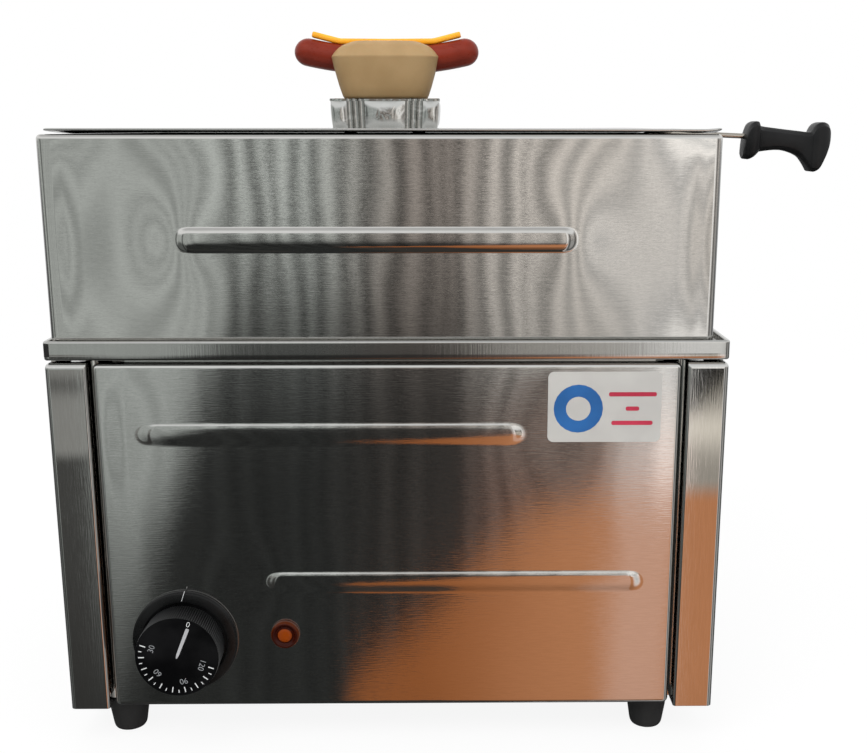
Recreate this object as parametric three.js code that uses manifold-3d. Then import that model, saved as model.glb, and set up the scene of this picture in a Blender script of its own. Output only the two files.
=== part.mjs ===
// A counter-top hot dog steamer: a water cabinet, a loose steam chamber, a wire basket and a loose lid.
// Millimetres, +Z up, the front faces -Y. The origin is the bottom centre of the whole object's box.
// While it is put together, x is zero at the cabinet's middle, y at its front face and z on the worktop.
import * as THREE from "three";
import { mergeVertices } from "three/addons/utils/BufferGeometryUtils.js";
import Module from "manifold-3d";

const wasm = await Module();
wasm.setup();

// Shared values
const sheet = 1; // thickness of the steel sheet
const fit = 0.3; // gap between a piece and its seat
const overrun = 4; // how far a cutting shape passes the face it cuts
const leastCorner = 0.4; // smallest corner radius of a folded outline
const weld = 1e-4; // vertices closer than this are one
const leastTurn = 1e-6; // a path that turns by less than this runs straight on

// Numbers of facets
const cornerSteps = 3;
const bendSteps = 3;
const turnSteps = 2;
const slotSteps = 2;
const beadSides = 10;
const holeSides = 12;
const tubeSides = 8;
const thinSides = 6;
const smallSides = 8;
const roundSides = 14;
const fineSides = 24;

// Cabinet
const cabinetWidth = 340;
const cabinetDepth = 260;
const cabinetHeight = 187;
const cabinetCorner = 5;
const cabinetTopRound = 3;
const stripWidth = 20.5;
const stripReturn = 12; // depth of the fold beside the front panel
const stripBend = 1.8;
const landingLip = 10; // lip behind a panel's edge, to which the panel is fixed
const backReturn = 3;

// Front panel, a shallow tray with its open side to the back
const frontRecess = 1.5;
const frontSideGap = 2.5;
const frontEdgeGap = 0.7;
const frontBend = 4;
const frontCorner = 4.6;

// Pressed beads, proud on the outside and hollow behind
const beadLength = 197;
const beadHeight = 11;
const beadDepth = 3;
const beadWall = 0.9;
const upperBeadInset = 42.5; // from the cabinet's left side to the bead
const upperBeadX = upperBeadInset + beadLength / 2 - cabinetWidth / 2;
const upperBeadZ = 149.5;
const lowerBeadInset = 38.5; // from the cabinet's right side to the bead
const lowerBeadX = cabinetWidth / 2 - lowerBeadInset - beadLength / 2;
const lowerBeadZ = 70;
const chamberBeadX = -5;
const chamberBeadZ = 58.5; // above the chamber's lower edge

// Back panel
const backSideGap = 1;
const backScrewInset = 5;
const ventLength = 34;
const ventHeight = 4;
const ventPitchX = 44;
const ventPitchZ = 12;
const ventColumns = 3;
const ventRows = 3;
const ventInset = 110; // from the cabinet's right side to the middle of the vents
const ventX = cabinetWidth / 2 - ventInset;
const ventZ = 40;

// Bottom plate
const bottomFlange = 12;
const bottomBend = 3;
const floorVentLength = 60;
const floorVentWidth = 5;
const floorVentPitch = 16;
const floorVentCount = 5;

// Feet
const footHeight = 20;
const footTopRadius = 11;
const footBottomRadius = 8.6;
const footRound = 3;
const footRecessRadius = 5.2;
const footRecessDepth = 9;
const footInsetY = 21;
const footInsetX = 28;
const footPitchX = cabinetWidth - 2 * footInsetX;
const footShiftX = -3;

// Collar frame, a gutter round the foot of the chamber
const collarHeight = 10.7;
const collarLip = 2;
const collarHem = 2;
const collarFloor = 24; // from the outside to the inner edge
const collarSkirt = 12;
const collarCorner = 5;

// Water pan
const panInset = 25.5;
const panDepth = 85;
const panBend = 3;
const panCorner = 6;
const panFlange = 12;

// Steam chamber, which stands in the collar's gutter
const chamberGap = 6; // from the cabinet's outside to the chamber's
const chamberWidth = cabinetWidth - 2 * chamberGap;
const chamberDepth = cabinetDepth - 2 * chamberGap;
const chamberHeight = 108.6;
const chamberShiftX = -2.5;
const chamberCorner = 6;
const rimRoll = 3.5;
const rimLip = 9;

// Steam plate, a slotted tray in the chamber
const steamPlateLift = 6;
const steamPlateFlange = 6;
const steamPlateBend = 2;
const steamPlateCorner = 5;
const steamSlotLength = 44;
const steamSlotWidth = 3;
const steamSlotPitchX = 58;
const steamSlotPitchY = 46;

// Basket
const basketGapX = 19; // from the chamber's outside to the basket's
const basketGapY = 20;
const basketWidth = chamberWidth - 2 * basketGapX;
const basketDepth = chamberDepth - 2 * basketGapY;
const basketHeight = 74;
const basketCorner = 16;
const wireRadius = 1.5;
const wireSides = 5;
const wireBend = 7;
const wireFuseShare = 0.75; // distance of two fused wires, as a share of their diameter
const crossWirePitch = 45;
const longWirePitch = 50;
const middleLoopShare = 0.52;
const rodRise = 0.2; // centre of the rod above the chamber's rim
const rodLevelRun = 26;
const rodDrop = 2.8;
const rodSides = 8;

// Basket grip
const gripLength = 52.8;
const gripHeight = 29;
const gripWidth = 18;
const gripCornerShare = 0.8;
const gripStart = 57.5; // from the basket's side to the grip
const rodInGrip = 30;

// Lid
const lidInset = 1.5; // from the chamber's outside to the lid's
const lidWidth = chamberWidth - 2 * lidInset;
const lidDepth = chamberDepth - 2 * lidInset;
const lidThickness = 1.8;
const lidHem = 8;
const lidCorner = 5;
const lidShiftX = 1.6;

// Figure on the lid
const figureShiftX = -5.6;
const pedestalWidth = 62.6;
const pedestalDepth = 36;
const pedestalHeight = 16.2;
const pedestalTaperShare = 0.035;
const pedestalBlock = 9;
const fluteRadius = 1.7;
const fluteCount = 3;
const bunWidth = 61.5;
const bunDepth = 42;
const bunHeight = 31;
const sausageLength = 105.8;
const sausageRadius = 7.8;
const sausageRise = 5;
const sausageAxis = 21.7; // above the bun's bottom, at the middle
const sausageSides = 12;
const sausageCapSteps = 4;
const sausageSteps = 6;
const mustardThickness = 3;
const mustardWidth = 6;
const mustardLength = 85;
const mustardRise = 5.2;
const mustardBend = 12;

// Knob and thermostat
const knobInset = 62.4; // from the cabinet's left side to the shaft's axis
const knobX = knobInset - cabinetWidth / 2;
const knobZ = 38.7;
const knobRadius = 21.3;
const knobReach = 17; // face of the knob in front of the cabinet's front
const knobWall = 2.2;
const knobFace = 2.6;
const knobHubRadius = 5.6;
const knobHubStart = 5;
const knurlCount = 36;
const knurlDepth = 0.5;
const knobEdge = 0.8;
const knobRestTurn = THREE.MathUtils.degToRad(18); // clockwise from off, seen from the front
const pointerWidth = 2.4;
const pointerStart = 1.5;
const pointerEnd = 16.2;
const pointerDepth = 1.4;
const pointerProud = 0.4;
const bezelRadius = 27.4;
const bezelDepth = 3;
const bezelFloor = 1.3;
const bezelEdge = 1.6;
const bezelRim = 4;
const thermostatWidth = 42;
const thermostatHeight = 44;
const thermostatDepth = 28;
const thermostatCorner = 3;
const bushRadius = 5;
const bushReach = 5.6;
const nutFlats = 14;
const nutHeight = 2.5;
const shaftRadius = 3;
const shaftFlat = 0.9;
const shaftSeat = 6;
const tabWidth = 6.3;
const tabThickness = 0.8;
const tabLength = 8;
const tabPitch = 16;

// Capillary bulb
const bulbRadius = 3;
const bulbEndShare = 0.6;
const bulbLength = 80;
const bulbX = -20;
const bulbY = 74;
const capillaryRadius = 1;
const capillaryBend = 8;
const clipWidth = 12;
const clipFoot = 9;
const clipBend = 1.2;

// Pilot lamp
const lampPitch = 52.2; // from the knob's axis
const lampX = knobX + lampPitch;
const lampZ = 42;
const lampRadius = 7.45;
const lampReach = 3.4;
const lampDiscRadius = 4;
const lampGroove = 1.2;
const lampNeckRadius = 5.6;
const lampNeckLength = 5;
const lampBodyLength = 20;
const lampClipRadius = 8.6;
const lampClipHeight = 2;
const lampTabPitch = 5;

// Heating element
const elementRadius = 4;
const elementSideGap = 49.5; // from the pan's wall to the outer legs
const elementReachX = cabinetWidth / 2 - panInset - elementSideGap;
const elementTurnX = 32;
const elementBend = 18;
const elementFrontGap = 25;
const elementBackGap = 45;
const elementLift = 14;
const elementTail = 11;
const pinRadius = 1.8;
const pinLength = 6;
const bushingRadius = 7.5;
const bushingFlangeRadius = 9;
const bushingFlange = 3;
const bushingTail = 8;
const bushingNutFlats = 22;
const bushingNutHeight = 4;

// Terminal block, inside leads and cable gland
const blockWidth = 40;
const blockDepth = 20;
const blockHeight = 17;
const blockStep = 4;
const blockPoleRadius = 2.6;
const blockX = 20;
const blockBackGap = 40;
const leadRadius = 1.5;
const leadBend = 9;
const leadSides = 6;
const leadLevel = 20;
const leadPitch = 12;
const glandInset = 52; // from the cabinet's left side
const glandX = glandInset - cabinetWidth / 2;
const glandZ = 32;
const glandRadius = 8;
const glandCap = 12;
const glandStepShare = 0.7;
const glandFlats = 22;
const glandHex = 5;
const glandBore = 4;
const glandTail = 9;
const glandNutHeight = 4;

// Small fasteners
const screwRadius = 2;
const screwHeadRadius = 4;
const screwHeadHeight = 2.2;
const screwSides = 8;
const screwLength = 7;
const smallNutFlats = 7;
const smallNutHeight = 3;
const pedestalScrewPitch = 40;
const pedestalScrewDepth = 8;

// Levels that follow from the sizes above
const cabinetBottom = footHeight;
const cabinetTop = cabinetBottom + cabinetHeight;
const collarBottom = cabinetTop + fit;
const collarFloorTop = collarBottom + sheet;
const chamberBottom = collarFloorTop + fit;
const chamberTop = chamberBottom + chamberHeight;
const panFlangeBottom = collarFloorTop + fit;
const panBottom = panFlangeBottom - panDepth;
const panFloorTop = panBottom + sheet;
const steamPlateBottom = chamberBottom + steamPlateLift;
const basketBottom = steamPlateBottom + sheet + fit;
const rodLevel = chamberTop + rodRise;
const panelFront = frontRecess;
const panelBack = panelFront + sheet;
const middleY = cabinetDepth / 2;
const right = Math.PI / 2;

function finish(color, roughness, metalness) {
  return new THREE.MeshStandardMaterial({ color, roughness, metalness });
}

const steel = () => finish(0xb4b2ac, 0.32, 1);
const polished = () => finish(0xd8d8d6, 0.08, 1);
const zinc = () => finish(0xa8aaac, 0.4, 1);
const brass = () => finish(0xb99a55, 0.35, 1);
const copper = () => finish(0xb87550, 0.35, 1);
const blackPlastic = () => finish(0x17181a, 0.45, 0);
const whitePlastic = () => finish(0xcfd0cc, 0.5, 0);
const rubber = () => finish(0x121212, 0.85, 0);

// Booleans

function toSolid(geometry) {
  const bare = geometry.index ? geometry.toNonIndexed() : geometry.clone();
  bare.deleteAttribute("normal");
  bare.deleteAttribute("uv");
  const merged = mergeVertices(bare, weld);
  return new wasm.Manifold(new wasm.Mesh({
    numProp: 3,
    vertProperties: merged.attributes.position.array,
    triVerts: merged.index.array,
  }));
}

function toGeometry(solid) {
  const mesh = solid.getMesh();
  const geometry = new THREE.BufferGeometry();
  geometry.setAttribute("position", new THREE.BufferAttribute(mesh.vertProperties, 3));
  geometry.setIndex(new THREE.BufferAttribute(mesh.triVerts, 1));
  const flat = geometry.toNonIndexed();
  flat.computeVertexNormals();
  return flat;
}

function join(first, ...others) {
  return toGeometry(others.reduce((solid, other) => solid.add(toSolid(other)), toSolid(first)));
}

function cut(first, ...others) {
  return toGeometry(others.reduce((solid, other) => solid.subtract(toSolid(other)), toSolid(first)));
}

function common(first, second) {
  return toGeometry(toSolid(first).intersect(toSolid(second)));
}

// Basic forms

// A block between two values on each axis.
function block([x0, x1], [y0, y1], [z0, z1]) {
  const geometry = new THREE.BoxGeometry(x1 - x0, y1 - y0, z1 - z0);
  return geometry.translate((x0 + x1) / 2, (y0 + y1) / 2, (z0 + z1) / 2);
}

// A bar along Z from zero to its length; six sides make a hexagon.
function bar(radius, length, sides) {
  const geometry = new THREE.CylinderGeometry(radius, radius, length, sides);
  return geometry.rotateX(right).translate(0, 0, length / 2);
}

// A bar along +Y from zero to its length.
function barBack(radius, length, sides) {
  return bar(radius, length, sides).rotateX(-right);
}

// A revolved form. Its profile holds [radius, height] pairs and its axis is +Z.
function turned(profile, sides) {
  const points = profile.map(([radius, height]) => new THREE.Vector2(radius, height));
  return new THREE.LatheGeometry(points, sides).rotateX(right);
}

// The same with its axis along -Y, out of the front.
function turnedForward(profile, sides) {
  return turned(profile, sides).rotateX(right);
}

// The same with its axis along +Y, out of the back.
function turnedBack(profile, sides) {
  return turned(profile, sides).rotateX(-right);
}

function extruded(shape, length) {
  return new THREE.ExtrudeGeometry(shape, { depth: length, bevelEnabled: false, curveSegments: cornerSteps });
}

function roundedRectangle(width, depth, radius) {
  const points = [];
  for (let corner = 0; corner < 4; corner += 1) {
    const signX = corner === 0 || corner === 3 ? 1 : -1;
    const signY = corner < 2 ? 1 : -1;
    for (let step = 0; step <= cornerSteps; step += 1) {
      const angle = right * (corner + step / cornerSteps);
      const x = signX * (width / 2 - radius) + radius * Math.cos(angle);
      const y = signY * (depth / 2 - radius) + radius * Math.sin(angle);
      points.push(new THREE.Vector2(x, y));
    }
  }
  return points;
}

// A closed surface over rings of equally many points. Rings that don't form a loop get flat ends.
function skin(rings, isLoop) {
  const count = rings[0].length;
  const points = rings.flat();
  const index = [];
  const rows = isLoop ? rings.length : rings.length - 1;
  for (let row = 0; row < rows; row += 1) {
    const next = (row + 1) % rings.length;
    for (let k = 0; k < count; k += 1) {
      const beside = (k + 1) % count;
      const [a, b] = [row * count + k, row * count + beside];
      const [c, d] = [next * count + beside, next * count + k];
      index.push(a, b, c, a, c, d);
    }
  }
  if (!isLoop) {
    const centre = (ring) => ring.reduce((sum, p) => sum.add(p), new THREE.Vector3()).divideScalar(count);
    const lastRow = (rings.length - 1) * count;
    points.push(centre(rings[0]), centre(rings[rings.length - 1]));
    for (let k = 0; k < count; k += 1) {
      const beside = (k + 1) % count;
      index.push(points.length - 2, beside, k);
      index.push(points.length - 1, lastRow + k, lastRow + beside);
    }
  }
  const geometry = new THREE.BufferGeometry().setFromPoints(points);
  geometry.setIndex(index);
  geometry.computeVertexNormals();
  return geometry;
}

// A profile of [inset, level] pairs carried round a rectangle with round corners.
function carriedRound(width, depth, corner, profile, isLoop) {
  const rings = profile.map(([inset, level]) => {
    const radius = Math.max(corner - inset, leastCorner);
    const outline = roundedRectangle(width - 2 * inset, depth - 2 * inset, radius);
    return outline.map((p) => new THREE.Vector3(p.x, p.y, level));
  });
  return skin(rings, isLoop);
}

// A quarter bend as [inset, level] pairs. Zero degrees points outwards and 90 up.
function bend(inset, level, radius, from, to) {
  const pairs = [];
  for (let step = 0; step <= bendSteps; step += 1) {
    const angle = THREE.MathUtils.degToRad(from + (to - from) * step / bendSteps);
    pairs.push([inset - radius * Math.cos(angle), level + radius * Math.sin(angle)]);
  }
  return pairs;
}

// A folded tray whose closed face lies at level zero and whose edges turn down.
function tray(width, depth, corner, round, flange) {
  const profile = [
    ...bend(round, -round, round - sheet, 90, 0),
    [sheet, -flange],
    [0, -flange],
    ...bend(round, -round, round, 0, 90),
  ];
  return carriedRound(width, depth, corner, profile, false);
}

// Straight runs joined by bends, with a station at both ends of each run and a few along each bend.
class BentPath extends THREE.Curve {
  constructor(corners, radius) {
    super();
    this.stations = [];
    const last = corners.length - 1;
    const towards = (a, b) => b.clone().sub(a).normalize();
    this.add(corners[0], towards(corners[0], corners[1]));
    for (let i = 1; i < last; i += 1) {
      const arriving = towards(corners[i - 1], corners[i]);
      const leaving = towards(corners[i], corners[i + 1]);
      if (arriving.angleTo(leaving) < leastTurn) continue;
      const reach = radius * Math.tan(arriving.angleTo(leaving) / 2);
      const start = corners[i].clone().addScaledVector(arriving, -reach);
      const end = corners[i].clone().addScaledVector(leaving, reach);
      const turn = new THREE.QuadraticBezierCurve3(start, corners[i], end);
      for (let step = 0; step <= turnSteps; step += 1) {
        this.add(turn.getPoint(step / turnSteps), turn.getTangent(step / turnSteps));
      }
    }
    this.add(corners[last], towards(corners[last - 1], corners[last]));
  }

  add(point, direction) {
    this.stations.push({ point, direction });
  }

  getPointAt(share) {
    return this.stations[Math.round(share * (this.stations.length - 1))].point.clone();
  }

  getTangentAt(share) {
    return this.stations[Math.round(share * (this.stations.length - 1))].direction.clone();
  }
}

// A round bar bent along a path of corners.
function bentBar(corners, radius, turn, sides) {
  const path = new BentPath(corners.map((corner) => new THREE.Vector3(...corner)), turn);
  const section = new THREE.Shape();
  for (let side = 0; side < sides; side += 1) {
    const angle = 2 * Math.PI * (side + 0.5) / sides;
    const [x, y] = [radius * Math.cos(angle), radius * Math.sin(angle)];
    if (side === 0) section.moveTo(x, y);
    else section.lineTo(x, y);
  }
  return new THREE.ExtrudeGeometry(section, {
    extrudePath: path,
    steps: path.stations.length - 1,
    bevelEnabled: false,
  });
}

// The outline of a folded strip whose middle line has the given corners.
function foldedStrip(corners, thickness, turn) {
  const path = new BentPath(corners.map(([x, y]) => new THREE.Vector3(x, y, 0)), turn);
  const beside = (side) => path.stations.map(({ point, direction }) => new THREE.Vector2(
    point.x - side * direction.y * thickness / 2,
    point.y + side * direction.x * thickness / 2,
  ));
  return new THREE.Shape([...beside(-1), ...beside(1).reverse()]);
}

// A pressed bead along X. What lies behind the sheet's middle is cut away.
function bead(height, proud, length) {
  const radius = height / 2;
  const geometry = new THREE.CapsuleGeometry(radius, length - height, bendSteps, beadSides);
  return geometry.rotateZ(right).scale(1, proud / radius, 1);
}

// Presses a bead into a wall that lies square to Y with its outer face at the given y.
function pressBead(wall, x, faceY, z) {
  const outside = bead(beadHeight, beadDepth, beadLength).translate(x, faceY, z);
  const behind = block(
    [x - beadLength, x + beadLength],
    [faceY + sheet / 2, faceY + beadHeight],
    [z - beadHeight, z + beadHeight],
  );
  const lessWall = 2 * beadWall;
  const inside = bead(beadHeight - lessWall, beadDepth - beadWall, beadLength - lessWall);
  return cut(join(wall, cut(outside, behind)), inside.translate(x, faceY, z));
}

function hexRadius(flats) {
  return flats / 2 / Math.cos(Math.PI / 6);
}

// A hexagon nut along Z from zero.
function nut(flats, bore, height, sides) {
  const hole = bar(bore, height + 2 * overrun, sides).translate(0, 0, -overrun);
  return cut(bar(hexRadius(flats), height, 6), hole);
}

const headTopShare = 0.8;

// A pan-head screw. Its head stands on level zero and its shank points down.
function screw(length) {
  return turned([
    [0, -length],
    [screwRadius, -length],
    [screwRadius, 0],
    [screwHeadRadius, 0],
    [screwHeadRadius * headTopShare, screwHeadHeight],
    [0, screwHeadHeight],
  ], screwSides);
}

// Cabinet pieces

// The outside of the folded cabinet, closed, from a given level below its bottom edge.
function cabinetForm(inset, start) {
  const round = cabinetTopRound - inset;
  const profile = [[inset, start], ...bend(cabinetTopRound, cabinetTop - cabinetTopRound, round, 0, 90)];
  const form = carriedRound(cabinetWidth, cabinetDepth, cabinetCorner, profile, false);
  return form.translate(0, middleY, 0);
}

// The right side panel: side wall, front strip, back strip, top flange, and the folds beside the panels.
function sidePanel() {
  const outer = cabinetForm(0, cabinetBottom);
  const inner = cabinetForm(sheet, cabinetBottom - overrun);
  const inside = cabinetWidth / 2 - stripWidth;
  const side = block(
    [inside, cabinetWidth / 2 + overrun],
    [-overrun, cabinetDepth + overrun],
    [cabinetBottom - overrun, cabinetTop + overrun],
  );
  const shell = common(cut(outer, inner), side);
  const foldX = inside + sheet / 2;
  const fold = (from, depth) => foldedStrip([
    [inside + stripWidth / 2, from],
    [foldX, from],
    [foldX, depth],
    [inside - landingLip, depth],
  ], sheet, stripBend);
  const front = fold(sheet / 2, stripReturn + sheet / 2);
  const back = fold(cabinetDepth - sheet / 2, cabinetDepth - backReturn - sheet / 2);
  const foldHeight = cabinetHeight - sheet / 2;
  const folds = [front, back].map((shape) => common(
    extruded(shape, foldHeight).translate(0, 0, cabinetBottom), outer,
  ));
  return join(shell, ...folds);
}

function frontPanel() {
  const width = cabinetWidth - 2 * (stripWidth + frontSideGap);
  const height = cabinetHeight - 2 * frontEdgeGap;
  const flange = stripReturn - fit - frontRecess;
  let panel = tray(width, height, frontCorner, frontBend, flange).rotateX(right);
  panel = panel.translate(0, panelFront, cabinetBottom + cabinetHeight / 2);
  panel = pressBead(panel, upperBeadX, panelFront, cabinetBottom + upperBeadZ);
  panel = pressBead(panel, lowerBeadX, panelFront, cabinetBottom + lowerBeadZ);
  const hole = (radius) => barBack(radius, sheet + 2 * overrun, roundSides)
    .translate(0, panelFront - overrun, 0);
  return cut(
    panel,
    hole(bushRadius + fit).translate(knobX, 0, cabinetBottom + knobZ),
    hole(lampNeckRadius + fit).translate(lampX, 0, cabinetBottom + lampZ),
  );
}

function slot(length, height) {
  const shape = new THREE.Path();
  const reach = (length - height) / 2;
  shape.absarc(reach, 0, height / 2, -right, right);
  shape.absarc(-reach, 0, height / 2, right, 3 * right);
  return shape.getPoints(slotSteps);
}

const backPanelWidth = cabinetWidth - 2 * (stripWidth + backSideGap);
const backPanelHeight = cabinetHeight - 2 * frontEdgeGap;
const backPanelFace = cabinetDepth - backReturn + fit + sheet;

// Places of the back panel's screws, from the panel's middle.
function backScrewPlaces() {
  const places = [];
  for (const side of [-1, 1]) {
    for (const row of [-1, 1]) {
      const x = side * (backPanelWidth / 2 - backScrewInset);
      const z = row * (backPanelHeight / 2 - 3 * backScrewInset);
      places.push([x, z]);
    }
  }
  return places;
}

function circleHole(x, y, radius) {
  const circle = new THREE.EllipseCurve(x, y, radius, radius, 0, 4 * right, true);
  return new THREE.Path(circle.getPoints(holeSides).slice(1));
}

function backPanel() {
  const shape = new THREE.Shape(roundedRectangle(backPanelWidth, backPanelHeight, frontCorner));
  for (const [x, z] of backScrewPlaces()) shape.holes.push(circleHole(x, z, screwRadius + fit));
  const middleZ = cabinetHeight / 2;
  shape.holes.push(circleHole(glandX, glandZ - middleZ, glandRadius + fit));
  for (let column = 0; column < ventColumns; column += 1) {
    for (let row = 0; row < ventRows; row += 1) {
      const x = ventX + (column - (ventColumns - 1) / 2) * ventPitchX;
      const z = ventZ - middleZ + (row - (ventRows - 1) / 2) * ventPitchZ;
      const outline = slot(ventLength, ventHeight).map((p) => new THREE.Vector2(p.x + x, p.y + z));
      shape.holes.push(new THREE.Path(outline.reverse()));
    }
  }
  return extruded(shape, sheet).rotateX(right).translate(0, backPanelFace, cabinetBottom + middleZ);
}

// Holes under the lips' ends in the side panels for the back panel's screws.
function backScrewHoles() {
  const onRight = backScrewPlaces().filter(([x]) => x > 0);
  const start = cabinetDepth - backReturn - 2 * overrun;
  return onRight.map(([x, z]) => barBack(screwRadius + fit, 4 * overrun, smallSides)
    .translate(x, start, cabinetBottom + cabinetHeight / 2 + z));
}

// The feet's places as [name, x, y].
function footPlaces() {
  const places = [];
  for (const [end, y] of [["front", footInsetY], ["back", cabinetDepth - footInsetY]]) {
    for (const [side, sign] of [["left", -1], ["right", 1]]) {
      places.push([`${end}_${side}`, footShiftX + sign * footPitchX / 2, y]);
    }
  }
  return places;
}

function bottomPlate() {
  const front = stripReturn + sheet + fit;
  const back = cabinetDepth - backReturn - sheet - fit;
  const width = cabinetWidth - 2 * (sheet + fit);
  let plate = tray(width, back - front, cabinetCorner, bottomBend, bottomFlange).rotateX(2 * right);
  plate = plate.translate(0, (front + back) / 2, cabinetBottom);
  const holes = footPlaces().map(([, x, y]) => bar(screwRadius + fit, 2 * overrun, smallSides)
    .translate(x, y, cabinetBottom - overrun));
  for (let row = 0; row < floorVentCount; row += 1) {
    const y = middleY + (row - (floorVentCount - 1) / 2) * floorVentPitch;
    const outline = new THREE.Shape(slot(floorVentLength, floorVentWidth));
    holes.push(extruded(outline, 2 * overrun).translate(0, y, cabinetBottom - overrun));
  }
  return cut(plate, ...holes);
}

function foot() {
  const top = footHeight - fit;
  return turned([
    [footRecessRadius, 0],
    [footBottomRadius - footRound / 2, 0],
    [footBottomRadius, footRound / 2],
    [footTopRadius - footRound / 3, top / 2],
    [footTopRadius, top],
    [screwRadius + fit, top],
    [screwRadius + fit, footRecessDepth],
    [footRecessRadius, footRecessDepth],
    [footRecessRadius, 0],
  ], holeSides);
}

function collarFrame() {
  const half = collarHem / 2;
  const profile = [
    [collarLip, 0],
    [0, collarLip],
    ...bend(half, collarHeight - half, half, 0, 180),
    [collarHem, collarLip + sheet],
    [collarHem + sheet, sheet],
    [collarFloor, sheet],
    [collarFloor, -collarSkirt],
    [collarFloor - sheet, -collarSkirt],
    [collarFloor - sheet, 0],
  ];
  const frame = carriedRound(cabinetWidth, cabinetDepth, collarCorner, profile, true);
  return frame.translate(0, middleY, collarBottom);
}

function waterPan() {
  const profile = [
    ...bend(panBend, panBend, panBend, -90, 0),
    [0, panDepth],
    [-panFlange, panDepth],
    [-panFlange, panDepth + sheet],
    [sheet, panDepth + sheet],
    ...bend(panBend, panBend, panBend - sheet, 0, -90),
  ];
  const [width, depth] = [cabinetWidth - 2 * panInset, cabinetDepth - 2 * panInset];
  const pan = carriedRound(width, depth, panCorner, profile, false).translate(0, middleY, panBottom);
  const holes = [-1, 1].map((side) => barBack(bushingRadius + fit, 4 * overrun, roundSides)
    .translate(side * elementReachX, cabinetDepth - panInset - 2 * overrun, panFloorTop + elementLift));
  return cut(pan, ...holes);
}

// Heating element and what holds it

const elementZ = panFloorTop + elementLift;
const panBackWall = cabinetDepth - panInset;

function heatingElement() {
  const front = panInset + sheet + elementFrontGap;
  const turn = panBackWall - elementBackGap;
  const end = panBackWall + elementTail;
  const half = [[elementReachX, end], [elementReachX, front], [elementTurnX, front], [elementTurnX, turn]];
  const corners = [
    ...half.map(([x, y]) => [-x, y, 0]),
    ...half.reverse().map(([x, y]) => [x, y, 0]),
  ];
  const pin = barBack(pinRadius, pinLength + sheet, tubeSides).translate(0, end - sheet, 0);
  const tube = bentBar(corners, elementRadius, elementBend, tubeSides);
  const pins = [-1, 1].map((side) => pin.clone().translate(side * elementReachX, 0, 0));
  return join(tube, ...pins).translate(0, 0, elementZ);
}

function elementBushing() {
  const bore = elementRadius + fit;
  return turnedBack([
    [bore, -bushingFlange],
    [bushingFlangeRadius, -bushingFlange],
    [bushingFlangeRadius, 0],
    [bushingRadius, 0],
    [bushingRadius, bushingTail],
    [bore, bushingTail],
    [bore, -bushingFlange],
  ], holeSides).translate(0, panBackWall - sheet - fit, elementZ);
}

function elementNut() {
  return nut(bushingNutFlats, bushingRadius + fit, bushingNutHeight, roundSides)
    .rotateX(-right).translate(0, panBackWall + fit, elementZ);
}

// Thermostat. Its parts are made round the shaft's axis, with y as in the cabinet.

const bodyFront = panelBack + fit;
const bezelBack = panelFront - fit;
const bezelFloorFront = bezelBack - bezelFloor;

function thermostatBody() {
  const outline = new THREE.Shape(roundedRectangle(thermostatWidth, thermostatHeight, thermostatCorner));
  const body = extruded(outline, thermostatDepth).rotateX(-right).translate(0, bodyFront, 0);
  const bush = barBack(bushRadius, bushReach + sheet, roundSides).translate(0, bodyFront - bushReach, 0);
  const bore = barBack(shaftRadius + fit, bushReach + shaftSeat + overrun, roundSides)
    .translate(0, bodyFront - bushReach - overrun, 0);
  const back = bodyFront + thermostatDepth;
  const tabs = [-1, 1].map((side) => block(
    [side * tabPitch / 2 - tabWidth / 2, side * tabPitch / 2 + tabWidth / 2],
    [back - sheet, back + tabLength],
    [-tabThickness / 2, tabThickness / 2],
  ));
  return cut(join(body, bush, ...tabs), bore);
}

function thermostatNut() {
  return nut(nutFlats, bushRadius + fit, nutHeight, roundSides).rotateX(right)
    .translate(0, bezelFloorFront - fit, 0);
}

function thermostatShaft() {
  const back = bodyFront + shaftSeat - fit;
  const front = -knobReach + knobFace + fit;
  const length = back - front;
  const round = barBack(shaftRadius, length, roundSides).translate(0, front, 0);
  const flat = block(
    [-shaftRadius, shaftRadius],
    [front - overrun, -knobHubStart + sheet],
    [shaftRadius - shaftFlat, shaftRadius + overrun],
  );
  return cut(round, flat);
}

// The capillary's bulb lies under the pan's floor, along X.
const bulbZ = panBottom - fit - bulbRadius;

function thermostatBulb() {
  const end = bulbLength / 2;
  return turned([
    [0, -end],
    [bulbRadius * bulbEndShare, -end],
    [bulbRadius, -end + bulbRadius],
    [bulbRadius, end - bulbRadius],
    [bulbRadius * bulbEndShare, end],
    [0, end],
  ], smallSides).rotateY(right).translate(bulbX, bulbY, bulbZ);
}

function thermostatCapillary() {
  const start = [knobX - thermostatWidth / 4, bodyFront + thermostatDepth / 2];
  const top = cabinetBottom + knobZ + thermostatHeight / 2 + fit;
  const rise = (top + bulbZ) / 2;
  return bentBar([
    [...start, top],
    [...start, rise],
    [start[0], bulbY, rise],
    [start[0], bulbY, bulbZ],
    [bulbX - bulbLength / 2 - fit, bulbY, bulbZ],
  ], capillaryRadius, capillaryBend / 2, thinSides);
}

function bulbClip() {
  const reach = bulbRadius + fit + sheet / 2;
  const top = -fit - sheet / 2;
  const low = -2 * (bulbRadius + fit) - sheet / 2;
  const strip = foldedStrip([
    [-reach - clipFoot, top],
    [-reach, top],
    [-reach, low],
    [reach, low],
    [reach, top],
    [reach + clipFoot, top],
  ], sheet, clipBend);
  const clip = extruded(strip, clipWidth).rotateX(right).rotateZ(right);
  return clip.translate(bulbX - clipWidth / 2, bulbY, panBottom);
}

// Knob, bezel and pointer, made round the shaft's axis

function knurledOutline(radius) {
  const points = [];
  for (let step = 0; step < 2 * knurlCount; step += 1) {
    const angle = Math.PI * step / knurlCount;
    const reach = step % 2 ? radius - knurlDepth : radius;
    points.push(new THREE.Vector2(reach * Math.cos(angle), reach * Math.sin(angle)));
  }
  return new THREE.Shape(points);
}

const knobBack = bezelFloorFront - fit;

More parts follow.
